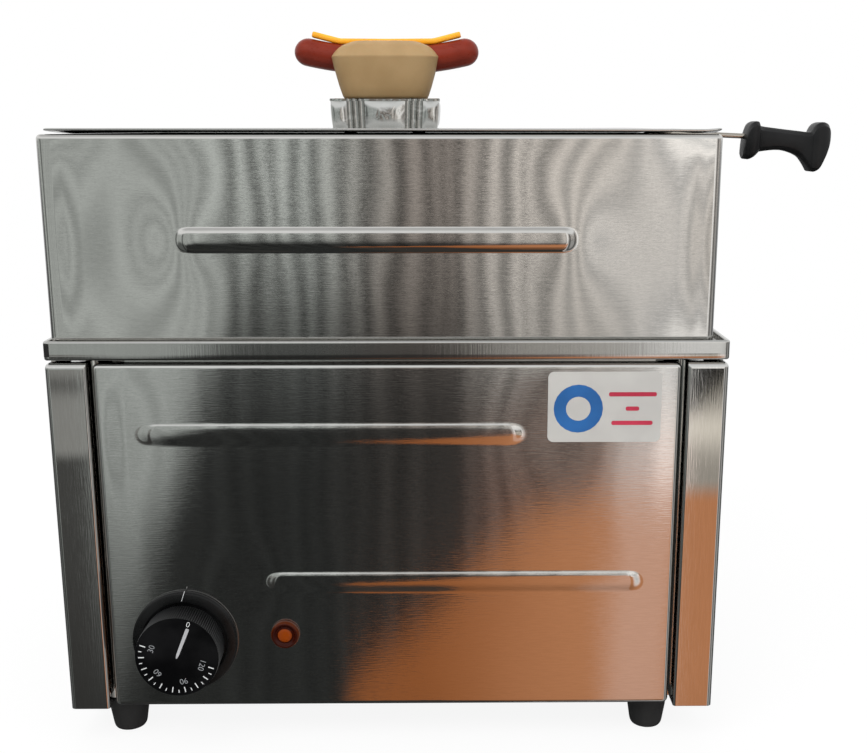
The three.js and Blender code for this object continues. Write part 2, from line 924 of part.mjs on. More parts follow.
function knob() {
  const length = knobReach + knobBack;
  const body = extruded(knurledOutline(knobRadius), length).rotateX(right).translate(0, knobBack, 0);
  const edge = turnedForward([
    [0, -knobBack - overrun],
    [knobRadius + overrun, -knobBack - overrun],
    [knobRadius + overrun, knobReach - knobEdge],
    [knobRadius, knobReach - knobEdge],
    [knobRadius - knobEdge, knobReach],
    [0, knobReach],
  ], fineSides);
  const hollow = turnedForward([
    [knobHubRadius, knobHubStart],
    [knobRadius - knobWall, knobHubStart],
    [knobRadius - knobWall, knobReach - knobFace],
    [knobHubRadius, knobReach - knobFace],
    [knobHubRadius, knobHubStart],
  ], roundSides);
  const mouth = turnedForward([
    [0, -knobBack - overrun],
    [knobRadius - knobWall, -knobBack - overrun],
    [knobRadius - knobWall, knobHubStart],
    [0, knobHubStart],
  ], roundSides);
  const bore = barBack(shaftRadius + fit, knobReach, roundSides).translate(0, -knobReach + knobFace, 0);
  const groove = pointerBlock(fit, pointerDepth + fit).translate(0, -knobReach + pointerDepth + fit, 0);
  return cut(common(body, edge), hollow, mouth, bore, groove);
}

// The pointer's bar with a clearance round it, from y zero forwards.
function pointerBlock(clearance, depth) {
  const half = pointerWidth / 2 + clearance;
  const shape = new THREE.Shape();
  shape.absarc(0, pointerStart + pointerWidth / 2, half, 2 * right, 4 * right);
  shape.absarc(0, pointerEnd - pointerWidth / 2, half, 0, 2 * right);
  return extruded(shape, depth + clearance * overrun).rotateX(right);
}

function knobPointer() {
  return pointerBlock(0, pointerDepth + pointerProud).translate(0, -knobReach + pointerDepth, 0);
}

function knobBezel() {
  const bore = bushRadius + fit;
  const ledge = bezelRadius - bezelRim - bezelEdge / 2;
  return turnedForward([
    [bore, 0],
    [bezelRadius, 0],
    [bezelRadius, bezelEdge],
    [bezelRadius - bezelEdge / 2, bezelEdge + bezelEdge / 2],
    [bezelRadius - bezelRim, bezelDepth],
    [ledge, bezelFloor],
    [bore, bezelFloor],
    [bore, 0],
  ], fineSides).translate(0, bezelBack, 0);
}

// Pilot lamp, made round its own axis

const lampBack = panelFront - fit;

function pilotLampLens() {
  const face = lampReach - lampGroove / 2;
  return turnedForward([
    [0, -lampNeckLength - fit],
    [lampNeckRadius, -lampNeckLength - fit],
    [lampNeckRadius, 0],
    [lampRadius, 0],
    [lampRadius, lampReach / 2],
    [lampRadius - lampGroove, lampReach],
    [lampDiscRadius + lampGroove, face],
    [lampDiscRadius, face - lampGroove],
    [lampDiscRadius - lampGroove / 2, face],
    [0, face + lampGroove / 4],
  ], roundSides).translate(0, lampBack, 0);
}

function pilotLampBody() {
  const front = lampBack + lampNeckLength + 2 * fit;
  const body = barBack(lampNeckRadius, lampBodyLength, roundSides).translate(0, front, 0);
  const back = front + lampBodyLength;
  const tabs = [-1, 1].map((side) => block(
    [side * lampTabPitch / 2 - tabThickness / 2, side * lampTabPitch / 2 + tabThickness / 2],
    [back - sheet, back + tabLength],
    [-tabWidth / 4, tabWidth / 4],
  ));
  return join(body, ...tabs);
}

function pilotLampClip() {
  const inner = lampNeckRadius + fit;
  return turnedBack([
    [inner, 0],
    [lampClipRadius, 0],
    [lampClipRadius - fit, lampClipHeight],
    [inner, lampClipHeight],
    [inner, 0],
  ], holeSides).translate(0, panelBack + fit, 0);
}

// Terminal block, leads and cable gland

const blockY = cabinetDepth - blockBackGap;
const blockBottom = cabinetBottom + sheet + fit;

function terminalBlock() {
  const half = blockDepth / 2;
  const profile = new THREE.Shape([
    [-half, 0],
    [half, 0],
    [half, blockHeight - blockStep],
    [half - blockStep, blockHeight],
    [-half + blockStep, blockHeight],
    [-half, blockHeight - blockStep],
  ].map(([y, z]) => new THREE.Vector2(y, z)));
  const body = extruded(profile, blockWidth).rotateX(right).rotateZ(right);
  const placed = body.translate(blockX - blockWidth / 2, blockY, blockBottom);
  const poles = [-1, 0, 1].map((pole) => bar(blockPoleRadius, blockHeight, tubeSides)
    .translate(blockX + pole * leadPitch, blockY, blockBottom + blockHeight / 2));
  return cut(placed, ...poles);
}

// A lead from the block's front face through the given corners.
function lead(pole, ...corners) {
  const start = [blockX + pole * leadPitch, blockY - blockDepth / 2 - fit, blockBottom + blockStep];
  return bentBar([start, ...corners], leadRadius, leadBend / 2, leadSides);
}

// To the thermostat's near tab.
function liveLead() {
  const x = knobX + tabPitch / 2;
  const y = bodyFront + thermostatDepth + tabLength + fit;
  const z = cabinetBottom + knobZ;
  const start = blockBottom + blockStep;
  return lead(
    -1,
    [blockX - leadPitch, y + 4 * leadBend, start],
    [x, y + 4 * leadBend, start],
    [x, y + 2 * leadBend, z],
    [x, y, z],
  );
}

// To the element's right pin.
function neutralLead() {
  const y = panBackWall + elementTail + pinLength + fit;
  const level = cabinetBottom + leadLevel + leadBend;
  return lead(
    1,
    [blockX + leadPitch, blockY - blockDepth / 2 - 2 * leadBend, blockBottom + blockStep],
    [blockX + leadPitch, blockY - blockDepth / 2 - 3 * leadBend, level],
    [elementReachX, blockY - blockDepth / 2 - 3 * leadBend, level],
    [elementReachX, y - elementRadius, level],
    [elementReachX, y - elementRadius, elementZ - elementRadius - fit],
  );
}

function cableGland() {
  return turnedBack([
    [glandBore, -glandTail],
    [glandRadius, -glandTail],
    [glandRadius, 0],
    [hexRadius(glandFlats), 0],
    [hexRadius(glandFlats), glandHex],
    [glandRadius + sheet, glandHex],
    [glandRadius, glandHex + glandCap * glandStepShare],
    [glandRadius - sheet, glandHex + glandCap],
    [glandBore, glandHex + glandCap],
    [glandBore, -glandTail],
  ], holeSides).translate(glandX, backPanelFace + fit, cabinetBottom + glandZ);
}

function glandNut() {
  const inner = backPanelFace - sheet - fit - glandNutHeight;
  return nut(glandFlats, glandRadius + fit, glandNutHeight, holeSides)
    .rotateX(-right).translate(glandX, inner, cabinetBottom + glandZ);
}

// Steam chamber

function steamChamber() {
  const inside = rimRoll - sheet;
  const profile = [
    [0, 0],
    ...bend(rimRoll, chamberHeight - rimRoll, rimRoll, 0, 90),
    [rimLip, chamberHeight],
    [rimLip, chamberHeight - sheet],
    ...bend(rimRoll, chamberHeight - rimRoll, inside, 90, 0),
    [sheet, 0],
  ];
  let chamber = carriedRound(chamberWidth, chamberDepth, chamberCorner, profile, true);
  chamber = pressBead(chamber, chamberBeadX - chamberShiftX, -chamberDepth / 2, chamberBeadZ);
  const saddle = bar(wireRadius + fit, chamberWidth, holeSides).rotateY(right)
    .translate(chamberWidth / 2 - rimLip - overrun, 0, chamberHeight + rodRise);
  return cut(chamber, saddle);
}

function steamPlate() {
  const width = chamberWidth - 2 * (sheet + fit);
  const depth = chamberDepth - 2 * (sheet + fit);
  const plate = tray(width, depth, steamPlateCorner, steamPlateBend, steamPlateFlange).rotateX(2 * right);
  const columns = Math.floor(width / steamSlotPitchX);
  const rows = Math.floor(depth / steamSlotPitchY);
  const outline = new THREE.Shape(slot(steamSlotLength, steamSlotWidth));
  const slots = [];
  for (let column = 0; column < columns; column += 1) {
    for (let row = 0; row < rows; row += 1) {
      const x = (column - (columns - 1) / 2) * steamSlotPitchX;
      const y = (row - (rows - 1) / 2) * steamSlotPitchY;
      slots.push(extruded(outline, 2 * overrun).translate(x, y, -overrun));
    }
  }
  return cut(plate, ...slots).translate(0, 0, steamPlateLift);
}

// Basket, made round its own middle with its lowest wires on level zero

// Offsets of evenly pitched wires inside a given width.
function pitched(width, pitch) {
  const count = Math.floor((width - 2 * basketCorner) / pitch) + 1;
  return Array.from({ length: count }, (_, i) => (i - (count - 1) / 2) * pitch);
}

function wireLoop(width, depth, level) {
  const circle = [];
  for (let side = 0; side < wireSides; side += 1) {
    const angle = 2 * Math.PI * (side + 0.5) / wireSides;
    circle.push([wireRadius - wireRadius * Math.cos(angle), level + wireRadius * Math.sin(angle)]);
  }
  return carriedRound(width, depth, basketCorner, circle, true);
}

function basket() {
  const fused = wireFuseShare * 2 * wireRadius;
  const halfX = basketWidth / 2 - wireRadius;
  const halfY = basketDepth / 2 - wireRadius;
  const top = basketHeight - wireRadius;
  const cross = pitched(basketWidth, crossWirePitch).map((x) => bentBar([
    [x, -halfY, top],
    [x, -halfY, wireRadius],
    [x, halfY, wireRadius],
    [x, halfY, top],
  ], wireRadius, wireBend, wireSides));
  const low = wireRadius + fused;
  const long = pitched(basketDepth, longWirePitch).map((y) => bentBar([
    [-halfX, y, top],
    [-halfX, y, low],
    [halfX, y, low],
    [halfX, y, top],
  ], wireRadius, wireBend, wireSides));
  const rim = wireLoop(basketWidth, basketDepth, top);
  const loop = wireLoop(basketWidth + 2 * fused, basketDepth + 2 * fused, basketHeight * middleLoopShare);
  return join(rim, loop, ...cross, ...long, basketRod(halfX + fused));
}

// The rod stands against the basket's right side, turns out over the chamber's rim and ends in the grip.
function basketRod(x) {
  const level = rodLevel - basketBottom;
  const start = basketHeight * middleLoopShare / 2;
  return bentBar([
    [x, 0, start],
    [x, 0, level],
    [x + rodLevelRun, 0, level],
    [x + gripStart + rodInGrip, 0, level - rodDrop],
  ], wireRadius, wireBend, rodSides);
}

// Height shares are measured from the rod's axis. Columns: along, top, bottom, half width.
const gripShares = [
  [0, -0.04, -0.36, 0.28],
  [0.04, 0.19, -0.47, 0.42],
  [0.13, 0.285, -0.4, 0.5],
  [0.18, 0.25, -0.32, 0.46],
  [0.22, 0.15, -0.285, 0.36],
  [0.37, 0.125, -0.275, 0.33],
  [0.5, 0.1, -0.345, 0.34],
  [0.64, 0.075, -0.5, 0.36],
  [0.72, 0.085, -0.66, 0.42],
  [0.78, 0.18, -0.73, 0.48],
  [0.88, 0.265, -0.64, 0.5],
  [0.96, 0.2, -0.42, 0.42],
  [1, 0.05, -0.16, 0.22],
];

function basketGrip() {
  const rings = gripShares.map(([along, top, bottom, half]) => {
    const height = (top - bottom) * gripHeight;
    const radius = gripCornerShare * Math.min(half * gripWidth, height / 2);
    const outline = roundedRectangle(2 * half * gripWidth, height, radius);
    const middle = (top + bottom) / 2 * gripHeight;
    return outline.map((p) => new THREE.Vector3(along * gripLength, p.x, p.y + middle));
  });
  const bore = bentBar([
    [-overrun, 0, overrun * rodSlope],
    [rodInGrip + fit, 0, -(rodInGrip + fit) * rodSlope],
  ], wireRadius + fit, wireBend, rodSides);
  return cut(skin(rings, false), bore);
}

const rodSlope = rodDrop / (gripStart + rodInGrip - rodLevelRun);
const rodX = basketWidth / 2 - wireRadius + wireFuseShare * 2 * wireRadius;
const gripZ = rodLevel - (gripStart - rodLevelRun) * rodSlope;

// Lid, made with its left lower edge on x zero and level zero

function lidSheet() {
  const half = lidThickness / 2;
  const profile = [
    [lidHem, lidThickness - sheet],
    [lidHem, 0],
    ...bend(half, half, half, -90, 90),
  ];
  const lid = carriedRound(lidWidth, lidDepth, lidCorner, profile, false).translate(lidWidth / 2, 0, 0);
  const holes = [-1, 1].map((side) => bar(screwRadius + fit, 2 * overrun, smallSides)
    .translate(figureX + side * pedestalScrewPitch / 2, 0, -overrun));
  return cut(lid, ...holes);
}

const figureX = lidWidth / 2 + figureShiftX;
const pedestalBottom = lidThickness + fit;
const bunBottom = pedestalBottom + pedestalHeight + fit;

// The pedestal's plan: end blocks, round flutes beside them and a plain panel in each long side's middle.
function pedestalPlan() {
  const [halfX, halfY] = [pedestalWidth / 2, pedestalDepth / 2];
  const start = halfX - pedestalBlock;
  const points = [];
  const side = (sign) => {
    points.push([sign * halfX, sign * -halfY], [sign * halfX, sign * halfY]);
    for (const bank of [1, -1]) {
      const first = bank > 0 ? start - fluteRadius : -start + 2 * fluteRadius * (fluteCount - 0.5);
      for (let flute = 0; flute < fluteCount; flute += 1) {
        const x = first - 2 * fluteRadius * flute;
        for (let step = 0; step <= cornerSteps; step += 1) {
          const angle = 2 * right * step / cornerSteps;
          const dx = fluteRadius * Math.cos(angle);
          const dy = -fluteRadius * Math.sin(angle);
          if (flute === 0 || step > 0) points.push([sign * (x + dx), sign * (halfY + dy)]);
        }
      }
    }
  };
  side(1);
  side(-1);
  return new THREE.Shape(points.map(([x, y]) => new THREE.Vector2(x, y)));
}

function handlePedestal() {
  const pedestal = extruded(pedestalPlan(), pedestalHeight);
  const place = pedestal.attributes.position;
  for (let i = 0; i < place.count; i += 1) {
    const narrowing = 1 - pedestalTaperShare * (1 - place.getZ(i) / pedestalHeight);
    place.setX(i, place.getX(i) * narrowing);
  }
  const holes = [-1, 1].map((side) => bar(screwRadius + fit, pedestalScrewDepth + overrun, smallSides)
    .translate(side * pedestalScrewPitch / 2, 0, -overrun));
  return cut(pedestal, ...holes).translate(figureX, 0, pedestalBottom);
}

// Columns: height, width, depth, each as a share of the bun's own.
const bunShares = [
  [0, 0.78, 0.8],
  [0.04, 0.805, 0.85],
  [0.35, 0.905, 0.94],
  [0.68, 1, 0.99],
  [0.74, 0.985, 1],
  [0.82, 0.93, 0.96],
  [0.9, 0.84, 0.88],
  [0.96, 0.74, 0.79],
  [1, 0.62, 0.68],
];

const bunCornerShare = 0.3;

function sausageForm(radius, length) {
  const straight = sausageLength / 2 - sausageRadius;
  const height = (x) => sausageRise * (x / straight) ** 2;
  const slope = (x) => 2 * sausageRise * x / straight ** 2;
  const stations = [];
  const straightHalf = length / 2 - radius;
  for (let step = 1; step <= sausageCapSteps; step += 1) {
    const angle = right * step / sausageCapSteps;
    stations.push([-straightHalf - radius * Math.cos(angle), radius * Math.sin(angle)]);
  }
  for (let step = 1; step < sausageSteps; step += 1) {
    stations.push([straightHalf * (2 * step / sausageSteps - 1), radius]);
  }
  for (let step = sausageCapSteps; step >= 1; step -= 1) {
    const angle = right * step / sausageCapSteps;
    stations.push([straightHalf + radius * Math.cos(angle), radius * Math.sin(angle)]);
  }
  const rings = stations.map(([x, reach]) => {
    const lean = Math.atan(slope(x));
    return Array.from({ length: sausageSides }, (_, side) => {
      const angle = 2 * Math.PI * side / sausageSides;
      const across = reach * Math.cos(angle);
      const up = reach * Math.sin(angle);
      return new THREE.Vector3(x - up * Math.sin(lean), across, height(x) + up * Math.cos(lean));
    });
  });
  return skin(rings, false);
}

function bun() {
  const rings = bunShares.map(([height, width, depth]) => {
    const corner = bunCornerShare * Math.min(bunWidth * width, bunDepth * depth);
    const outline = roundedRectangle(bunWidth * width, bunDepth * depth, corner);
    return outline.map((p) => new THREE.Vector3(p.x, p.y, height * bunHeight));
  });
  const bed = sausageForm(sausageRadius + fit, sausageLength + 2 * fit).translate(0, 0, sausageAxis);
  const mouth = block(
    [-bunWidth, bunWidth],
    [-sausageRadius - fit, sausageRadius + fit],
    [sausageAxis, bunHeight + overrun],
  );
  return cut(skin(rings, false), bed, mouth).translate(figureX, 0, bunBottom);
}

function sausage() {
  return sausageForm(sausageRadius, sausageLength).translate(figureX, 0, bunBottom + sausageAxis);
}

const shoulderShare = 0.55;
const shoulderRiseShare = 0.29;

function mustard() {
  const half = mustardLength / 2;
  const strip = foldedStrip([
    [-half, mustardRise],
    [-half * shoulderShare, mustardRise * shoulderRiseShare],
    [0, 0],
    [half * shoulderShare, mustardRise * shoulderRiseShare],
    [half, mustardRise],
  ], mustardThickness, mustardBend);
  const level = bunBottom + sausageAxis + sausageRadius + fit + mustardThickness / 2;
  return extruded(strip, mustardWidth).rotateX(right).translate(figureX, mustardWidth / 2, level);
}

// Assembly

const steamer = new THREE.Group();

function add(group, name, geometry, material) {
  const mesh = new THREE.Mesh(geometry, material);
  mesh.name = name;
  group.add(mesh);
  return mesh;
}

function addCabinet() {
  const side = cut(sidePanel(), ...backScrewHoles());
  add(steamer, "side_panel_right", side, steel());
  add(steamer, "side_panel_left", side.clone(), steel()).scale.x = -1;
  add(steamer, "front_panel", frontPanel(), steel());
  add(steamer, "back_panel", backPanel(), steel());
  add(steamer, "bottom_plate", bottomPlate(), steel());
  add(steamer, "collar_frame", collarFrame(), steel());
  add(steamer, "water_pan", waterPan(), steel());
  backScrewPlaces().forEach(([x, z], i) => {
    const fastener = add(steamer, `back_screw_${i + 1}`, screw(screwLength).rotateX(-right), zinc());
    fastener.position.set(x, backPanelFace + fit, cabinetBottom + cabinetHeight / 2 + z);
  });
}

function addFeet() {
  const shank = footHeight - footRecessDepth + sheet + smallNutHeight + fit;
  for (const [place, x, y] of footPlaces()) {
    add(steamer, `foot_${place}`, foot(), rubber()).position.set(x, y, 0);
    const fastener = add(steamer, `foot_screw_${place}`, screw(shank).rotateX(2 * right), zinc());
    fastener.position.set(x, y, footRecessDepth - fit);
    const nutPiece = nut(smallNutFlats, screwRadius + fit, smallNutHeight, smallSides);
    add(steamer, `foot_nut_${place}`, nutPiece, zinc()).position.set(x, y, cabinetBottom + sheet + fit);
  }
}

function addHeating() {
  add(steamer, "heating_element", heatingElement(), zinc());
  for (const [side, sign] of [["left", -1], ["right", 1]]) {
    add(steamer, `element_bushing_${side}`, elementBushing(), brass()).position.x = sign * elementReachX;
    add(steamer, `element_nut_${side}`, elementNut(), brass()).position.x = sign * elementReachX;
  }
}

function addControls() {
  const axis = new THREE.Group();
  axis.position.set(knobX, 0, cabinetBottom + knobZ);
  steamer.add(axis);
  add(axis, "thermostat_body", thermostatBody(), whitePlastic());
  add(axis, "thermostat_nut", thermostatNut(), zinc());
  add(axis, "knob_bezel", knobBezel(), blackPlastic());
  const dial = new THREE.Group();
  dial.rotation.y = knobRestTurn;
  axis.add(dial);
  add(dial, "thermostat_shaft", thermostatShaft(), zinc());
  add(dial, "knob", knob(), blackPlastic());
  add(dial, "knob_pointer", knobPointer(), whitePlastic());
  add(steamer, "thermostat_bulb", thermostatBulb(), copper());
  add(steamer, "thermostat_capillary", thermostatCapillary(), copper());
  add(steamer, "bulb_clip", bulbClip(), steel());
  const lamp = new THREE.Group();
  lamp.position.set(lampX, 0, cabinetBottom + lampZ);
  steamer.add(lamp);
  add(lamp, "pilot_lamp_lens", pilotLampLens(), finish(0xb4480f, 0.2, 0));
  add(lamp, "pilot_lamp_body", pilotLampBody(), blackPlastic());
  add(lamp, "pilot_lamp_clip", pilotLampClip(), whitePlastic());
}

function addWiring() {
  add(steamer, "terminal_block", terminalBlock(), whitePlastic());
  add(steamer, "lead_live", liveLead(), finish(0x6b3a1e, 0.5, 0));
  add(steamer, "lead_neutral", neutralLead(), finish(0x2c4f86, 0.5, 0));
  add(steamer, "cable_gland", cableGland(), blackPlastic());
  add(steamer, "gland_nut", glandNut(), blackPlastic());
}

function addChamber() {
  const chamber = new THREE.Group();
  chamber.position.set(chamberShiftX, middleY, chamberBottom);
  steamer.add(chamber);
  add(chamber, "steam_chamber", steamChamber(), steel());
  add(chamber, "steam_plate", steamPlate(), steel());
  const basketGroup = new THREE.Group();
  basketGroup.position.set(chamberShiftX, middleY, basketBottom);
  steamer.add(basketGroup);
  add(basketGroup, "basket", basket(), steel());
  const grip = add(basketGroup, "basket_grip", basketGrip(), blackPlastic());
  grip.position.set(rodX + gripStart, 0, gripZ - basketBottom);
}

// The lid's left edge lies on the chamber's rim and its right hem on the basket's rod.
function addLid() {
  const lid = new THREE.Group();
  const left = chamberShiftX + lidShiftX - lidWidth / 2;
  lid.position.set(left, middleY, chamberTop + fit);
  lid.rotation.y = -Math.atan2(rodRise + wireRadius, lidWidth - lidHem);
  steamer.add(lid);
  add(lid, "lid", lidSheet(), steel());
  add(lid, "handle_pedestal", handlePedestal(), polished());
  add(lid, "bun", bun(), finish(0xb0946c, 0.6, 0));
  add(lid, "sausage", sausage(), finish(0x8c3a2c, 0.3, 0));
  add(lid, "mustard", mustard(), finish(0xf2a513, 0.35, 0));
  for (const [side, sign] of [["left", -1], ["right", 1]]) {
    const fastener = screw(pedestalScrewDepth).rotateX(2 * right);
    const place = add(lid, `pedestal_screw_${side}`, fastener, zinc());
    place.position.set(figureX + sign * pedestalScrewPitch / 2, 0, lidThickness - sheet - fit);
  }
}

addCabinet();
addFeet();
addHeating();
addControls();
addWiring();
addChamber();
addLid();

// The whole object's box gives the origin.
steamer.updateMatrixWorld(true);
const reach = new THREE.Box3().setFromObject(steamer, true);
const centre = reach.getCenter(new THREE.Vector3());
steamer.position.set(-centre.x, -centre.y, -reach.min.z);

export default steamer;
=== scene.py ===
"""A counter-top hot dog steamer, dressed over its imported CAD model.

Points are written in millimetres: x from the cabinet's middle, y from its front face and z from the worktop.
"""

import math

import bpy
import numpy as np
from mathutils import Matrix, Vector


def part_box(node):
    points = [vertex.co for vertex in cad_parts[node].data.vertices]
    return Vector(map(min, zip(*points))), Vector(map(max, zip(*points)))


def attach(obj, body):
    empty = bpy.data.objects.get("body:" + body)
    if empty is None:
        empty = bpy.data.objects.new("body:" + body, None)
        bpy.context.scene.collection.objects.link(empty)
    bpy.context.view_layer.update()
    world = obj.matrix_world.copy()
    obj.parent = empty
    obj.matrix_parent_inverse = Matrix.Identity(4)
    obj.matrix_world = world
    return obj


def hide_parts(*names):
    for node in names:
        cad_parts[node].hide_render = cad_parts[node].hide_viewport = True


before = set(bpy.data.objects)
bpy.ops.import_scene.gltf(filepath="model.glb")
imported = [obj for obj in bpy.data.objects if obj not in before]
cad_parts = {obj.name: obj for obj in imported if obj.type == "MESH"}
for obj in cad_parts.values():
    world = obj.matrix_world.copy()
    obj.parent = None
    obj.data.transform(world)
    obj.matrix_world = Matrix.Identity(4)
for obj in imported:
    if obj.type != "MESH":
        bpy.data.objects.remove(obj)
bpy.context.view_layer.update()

MM = 0.001
LEFT_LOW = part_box("side_panel_left")[0]
RIGHT_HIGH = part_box("side_panel_right")[1]
ORIGIN = np.array([(LEFT_LOW[0] + RIGHT_HIGH[0]) / 2, LEFT_LOW[1], 0.0])
SHEET_THICKNESS = 0.95

# Cabinet
WIDTH, DEPTH, MIDDLE_Y = 340, 260, 130
BOTTOM, TOP = 20, 207
CORNER, TOP_ROUND = 2.5, 3
STRIP, STRIP_RETURN, STRIP_BEND, LIP = 20.5, 12, 1.4, 10
COLLAR_BOTTOM, COLLAR_HEIGHT, COLLAR_HEM = TOP + 0.3, 10.7, 1.05

# Front panel
PANEL_FACE, PANEL_HALF, PANEL_GAP = 1.5, 147, 0.7
PANEL_BEND, PANEL_CORNER, PANEL_FLANGE = 2.4, 3, 10.2

# Pressed beads, as (middle x, middle z, depth, crest, fall, foot, end). The crest goes from -1 at the foot to
# 1 at the top, a higher fall keeps the face flat for longer, a foot above 1 runs out softly into the sheet,
# and the end is the length of each end's slope. BEAD_RISE is the power of the curve above the crest, and
# BEAD_ROUNDING how round the ends are.
BEAD_LENGTH, BEAD_HEIGHT = 197, 12
BEAD_RISE, BEAD_ROUNDING = 2.6, 0.8
UPPER_BEAD = (-29, 169.5, 0.44, 0.48, 2.8, 2.0, 8)
LOWER_BEAD = (33, 90, 0.5, 0.55, 2.8, 2.0, 7)
CHAMBER_BEAD = (-5, 267.1, 1.5, 0.45, 4.5, 1.0, 5)

# Places where the thin sheets are dished, as (x, z, depth, spread across, spread up)
PANEL_DISHES = [(86, 169, 0.3, 16, 18), (-140, 168, 0.25, 12, 20), (-78, 90, 0.2, 12, 14)]
CHAMBER_DISHES = [(-131, 266, 0.75, 22, 34), (-101, 267, -0.26, 9, 13), (124, 266, 0.6, 26, 36),
                  (92, 267, -0.18, 9, 13)]

# Chamber and lid
CHAMBER_WIDTH, CHAMBER_DEPTH, CHAMBER_CORNER = 331, 248, 3.5
CHAMBER_X = -2.5
CHAMBER_BOTTOM, CHAMBER_TOP = 208.6, 317.2
RIM_TOP, RIM_ROLL, RIM_LIP = CHAMBER_TOP + 0.5, 2.2, 9
LID_WIDTH, LID_DEPTH, LID_THICKNESS = 327, 245, 1.1
LID_LEFT = -164.4
LID_LOW, LID_DROP = 319.4, 0.5

# Figure on the lid
FIGURE_X = -4.8
PEDESTAL_WIDTH, PEDESTAL_DEPTH, PEDESTAL_HEIGHT = 61.6, 36, 16.2
PEDESTAL_X, PEDESTAL_BOTTOM = FIGURE_X - 0.6, 320.8
BUN_WIDTH, BUN_DEPTH, BUN_HEIGHT = 61.7, 42, 31.8
BUN_X, BUN_BOTTOM = FIGURE_X - 0.7, PEDESTAL_BOTTOM + PEDESTAL_HEIGHT + 0.3
SAUSAGE_LENGTH, SAUSAGE_RADIUS, SAUSAGE_RISE = 105.8, 7.8, 5
SAUSAGE_HALF = SAUSAGE_LENGTH / 2 - SAUSAGE_RADIUS
SAUSAGE_AXIS = 21.0

# Basket
BASKET_X, BASKET_HALF_X, BASKET_HALF_Y = -2.5, 145, 104
BASKET_BOTTOM, BASKET_HEIGHT = 215.9, 74
ROD_LEVEL = CHAMBER_TOP + 0.4
WIRE_RADIUS, WIRE_STACK = 1.5, 2.25
GRIP_START, GRIP_LENGTH, GRIP_LEVEL = 203.9, 51, 316

# Controls
KNOB_X, KNOB_Z = -107.6, 58.7
DIAL_X, DIAL_Z = KNOB_X - 0.6, KNOB_Z - 0.8
KNOB_TURN = math.radians(22)
KNOB_RIBS = 56
LAMP_X, LAMP_Z = -55.4, 62


# Meshes

def place(points):
    """Metres in the row's frame from millimetres in the cabinet's."""
    return np.asarray(points, float) * MM + ORIGIN


def add_mesh(name, points, faces, sharp=40):
    """A smooth-shaded object, with sharp edges where faces meet at more than this many degrees."""
    mesh = bpy.data.meshes.new(name)
    mesh.from_pydata([tuple(p) for p in place(points)], [], faces)
    mesh.validate()
    mesh.polygons.foreach_set("use_smooth", [True] * len(mesh.polygons))
    mesh.set_sharp_from_angle(angle=math.radians(sharp))
    piece = bpy.data.objects.new(name, mesh)
    bpy.context.collection.objects.link(piece)
    return piece


def dress(piece, body, material, slot=None, *nodes):
    """Gives a piece its material and body, and lets it stand for CAD nodes. The slot is not used."""
    piece.data.materials.clear()
    piece.data.materials.append(material)
    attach(piece, body)
    if nodes:
        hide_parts(*nodes)


def add_piece(name, form, body, material, slot=None, *nodes, sharp=40, flip=False, sheet=False):
    """A dressed piece from its points and faces. Flip turns the faces over. A sheet gets its thickness."""
    points, faces = form
    if flip:
        faces = [face[::-1] for face in faces]
    piece = add_mesh(name, points, faces, sharp)
    if sheet:
        modifier = piece.modifiers.new("thickness", "SOLIDIFY")
        modifier.thickness = SHEET_THICKNESS * MM
        modifier.offset = -1
    dress(piece, body, material, slot, *nodes)


def skin(rings, closed=True, looped=False, capped=False):
    """Points and faces over rings of equally many points.

    closed joins each ring's ends, looped joins the last ring to the first, and capped fills both ends.
    """
    rings = np.asarray(rings, float)
    rows, count = rings.shape[:2]
    faces = []
    for row in range(rows if looped else rows - 1):
        first, second = row * count, (row + 1) % rows * count
        for k in range(count if closed else count - 1):
            beside = (k + 1) % count
            faces.append((first + k, first + beside, second + beside, second + k))
    if capped:
        faces.append(tuple(range(count))[::-1])
        faces.append(tuple(range((rows - 1) * count, rows * count)))
    return rings.reshape(-1, 3).tolist(), faces


def arc(radius, start, end, steps):
    """Points round an arc, at evenly stepped degrees with both ends included."""
    angles = np.radians(np.linspace(start, end, steps + 1))
    return [(radius * math.cos(angle), radius * math.sin(angle)) for angle in angles]


def circle(count):
    """Angles in radians round a full turn."""
    return 2 * np.pi * np.arange(count) / count


def stations(low, high, coarse, marks=(), reach=9, fine=0.8):
    """Values from low to high, close together near the marks and coarse elsewhere."""
    values = [low]
    while values[-1] < high:
        near = any(abs(values[-1] - mark) < reach for mark in marks)
        step = fine if near else coarse
        for mark in marks:
            if values[-1] < mark - reach:
                step = min(step, mark - reach - values[-1] + fine)
        values.append(min(values[-1] + step, high))
    if len(values) > 2 and values[-1] - values[-2] < fine / 2:
        values.pop(-2)
    return values


def rounded_plan(half_x, half_y, radius, front=(), coarse=14, turn=8):
    """Stations round a rectangle from the front's left end: point, normal, radius and corner signs.

    The front side gets stations between the given x values. A corner's point is its centre.
    """
    def between(flat):
        return np.linspace(-flat, flat, max(2, round(2 * flat / coarse)))[1:-1]

    flat_x, flat_y = half_x - radius, half_y - radius
    xs, ys = between(flat_x), between(flat_y)
    sides = [
        ([(x, -half_y) for x in (front[1:-1] if front else xs)], (0, -1), (1, -1)),
        ([(half_x, y) for y in ys], (1, 0), (1, 1)),
        ([(x, half_y) for x in xs[::-1]], (0, 1), (-1, 1)),
        ([(-half_x, y) for y in ys[::-1]], (-1, 0), (-1, -1)),
    ]
    plan = []
    for number, (points, normal, (right, back)) in enumerate(sides):
        plan += [(*point, *normal, 0, 0, 0) for point in points]
        plan += [(right * flat_x, back * flat_y, *turned, radius, right, back)
                 for turned in arc(1, 90 * number - 90, 90 * number, turn)]
    return plan


def inset_point(station, inset):
    """A station's point once its outline has moved inwards."""
    x, y, across, along, radius, sign_x, sign_y = station
    if sign_x and inset > radius:
        return x - sign_x * (inset - radius), y - sign_y * (inset - radius)
    return x + across * (radius - inset), y + along * (radius - inset)


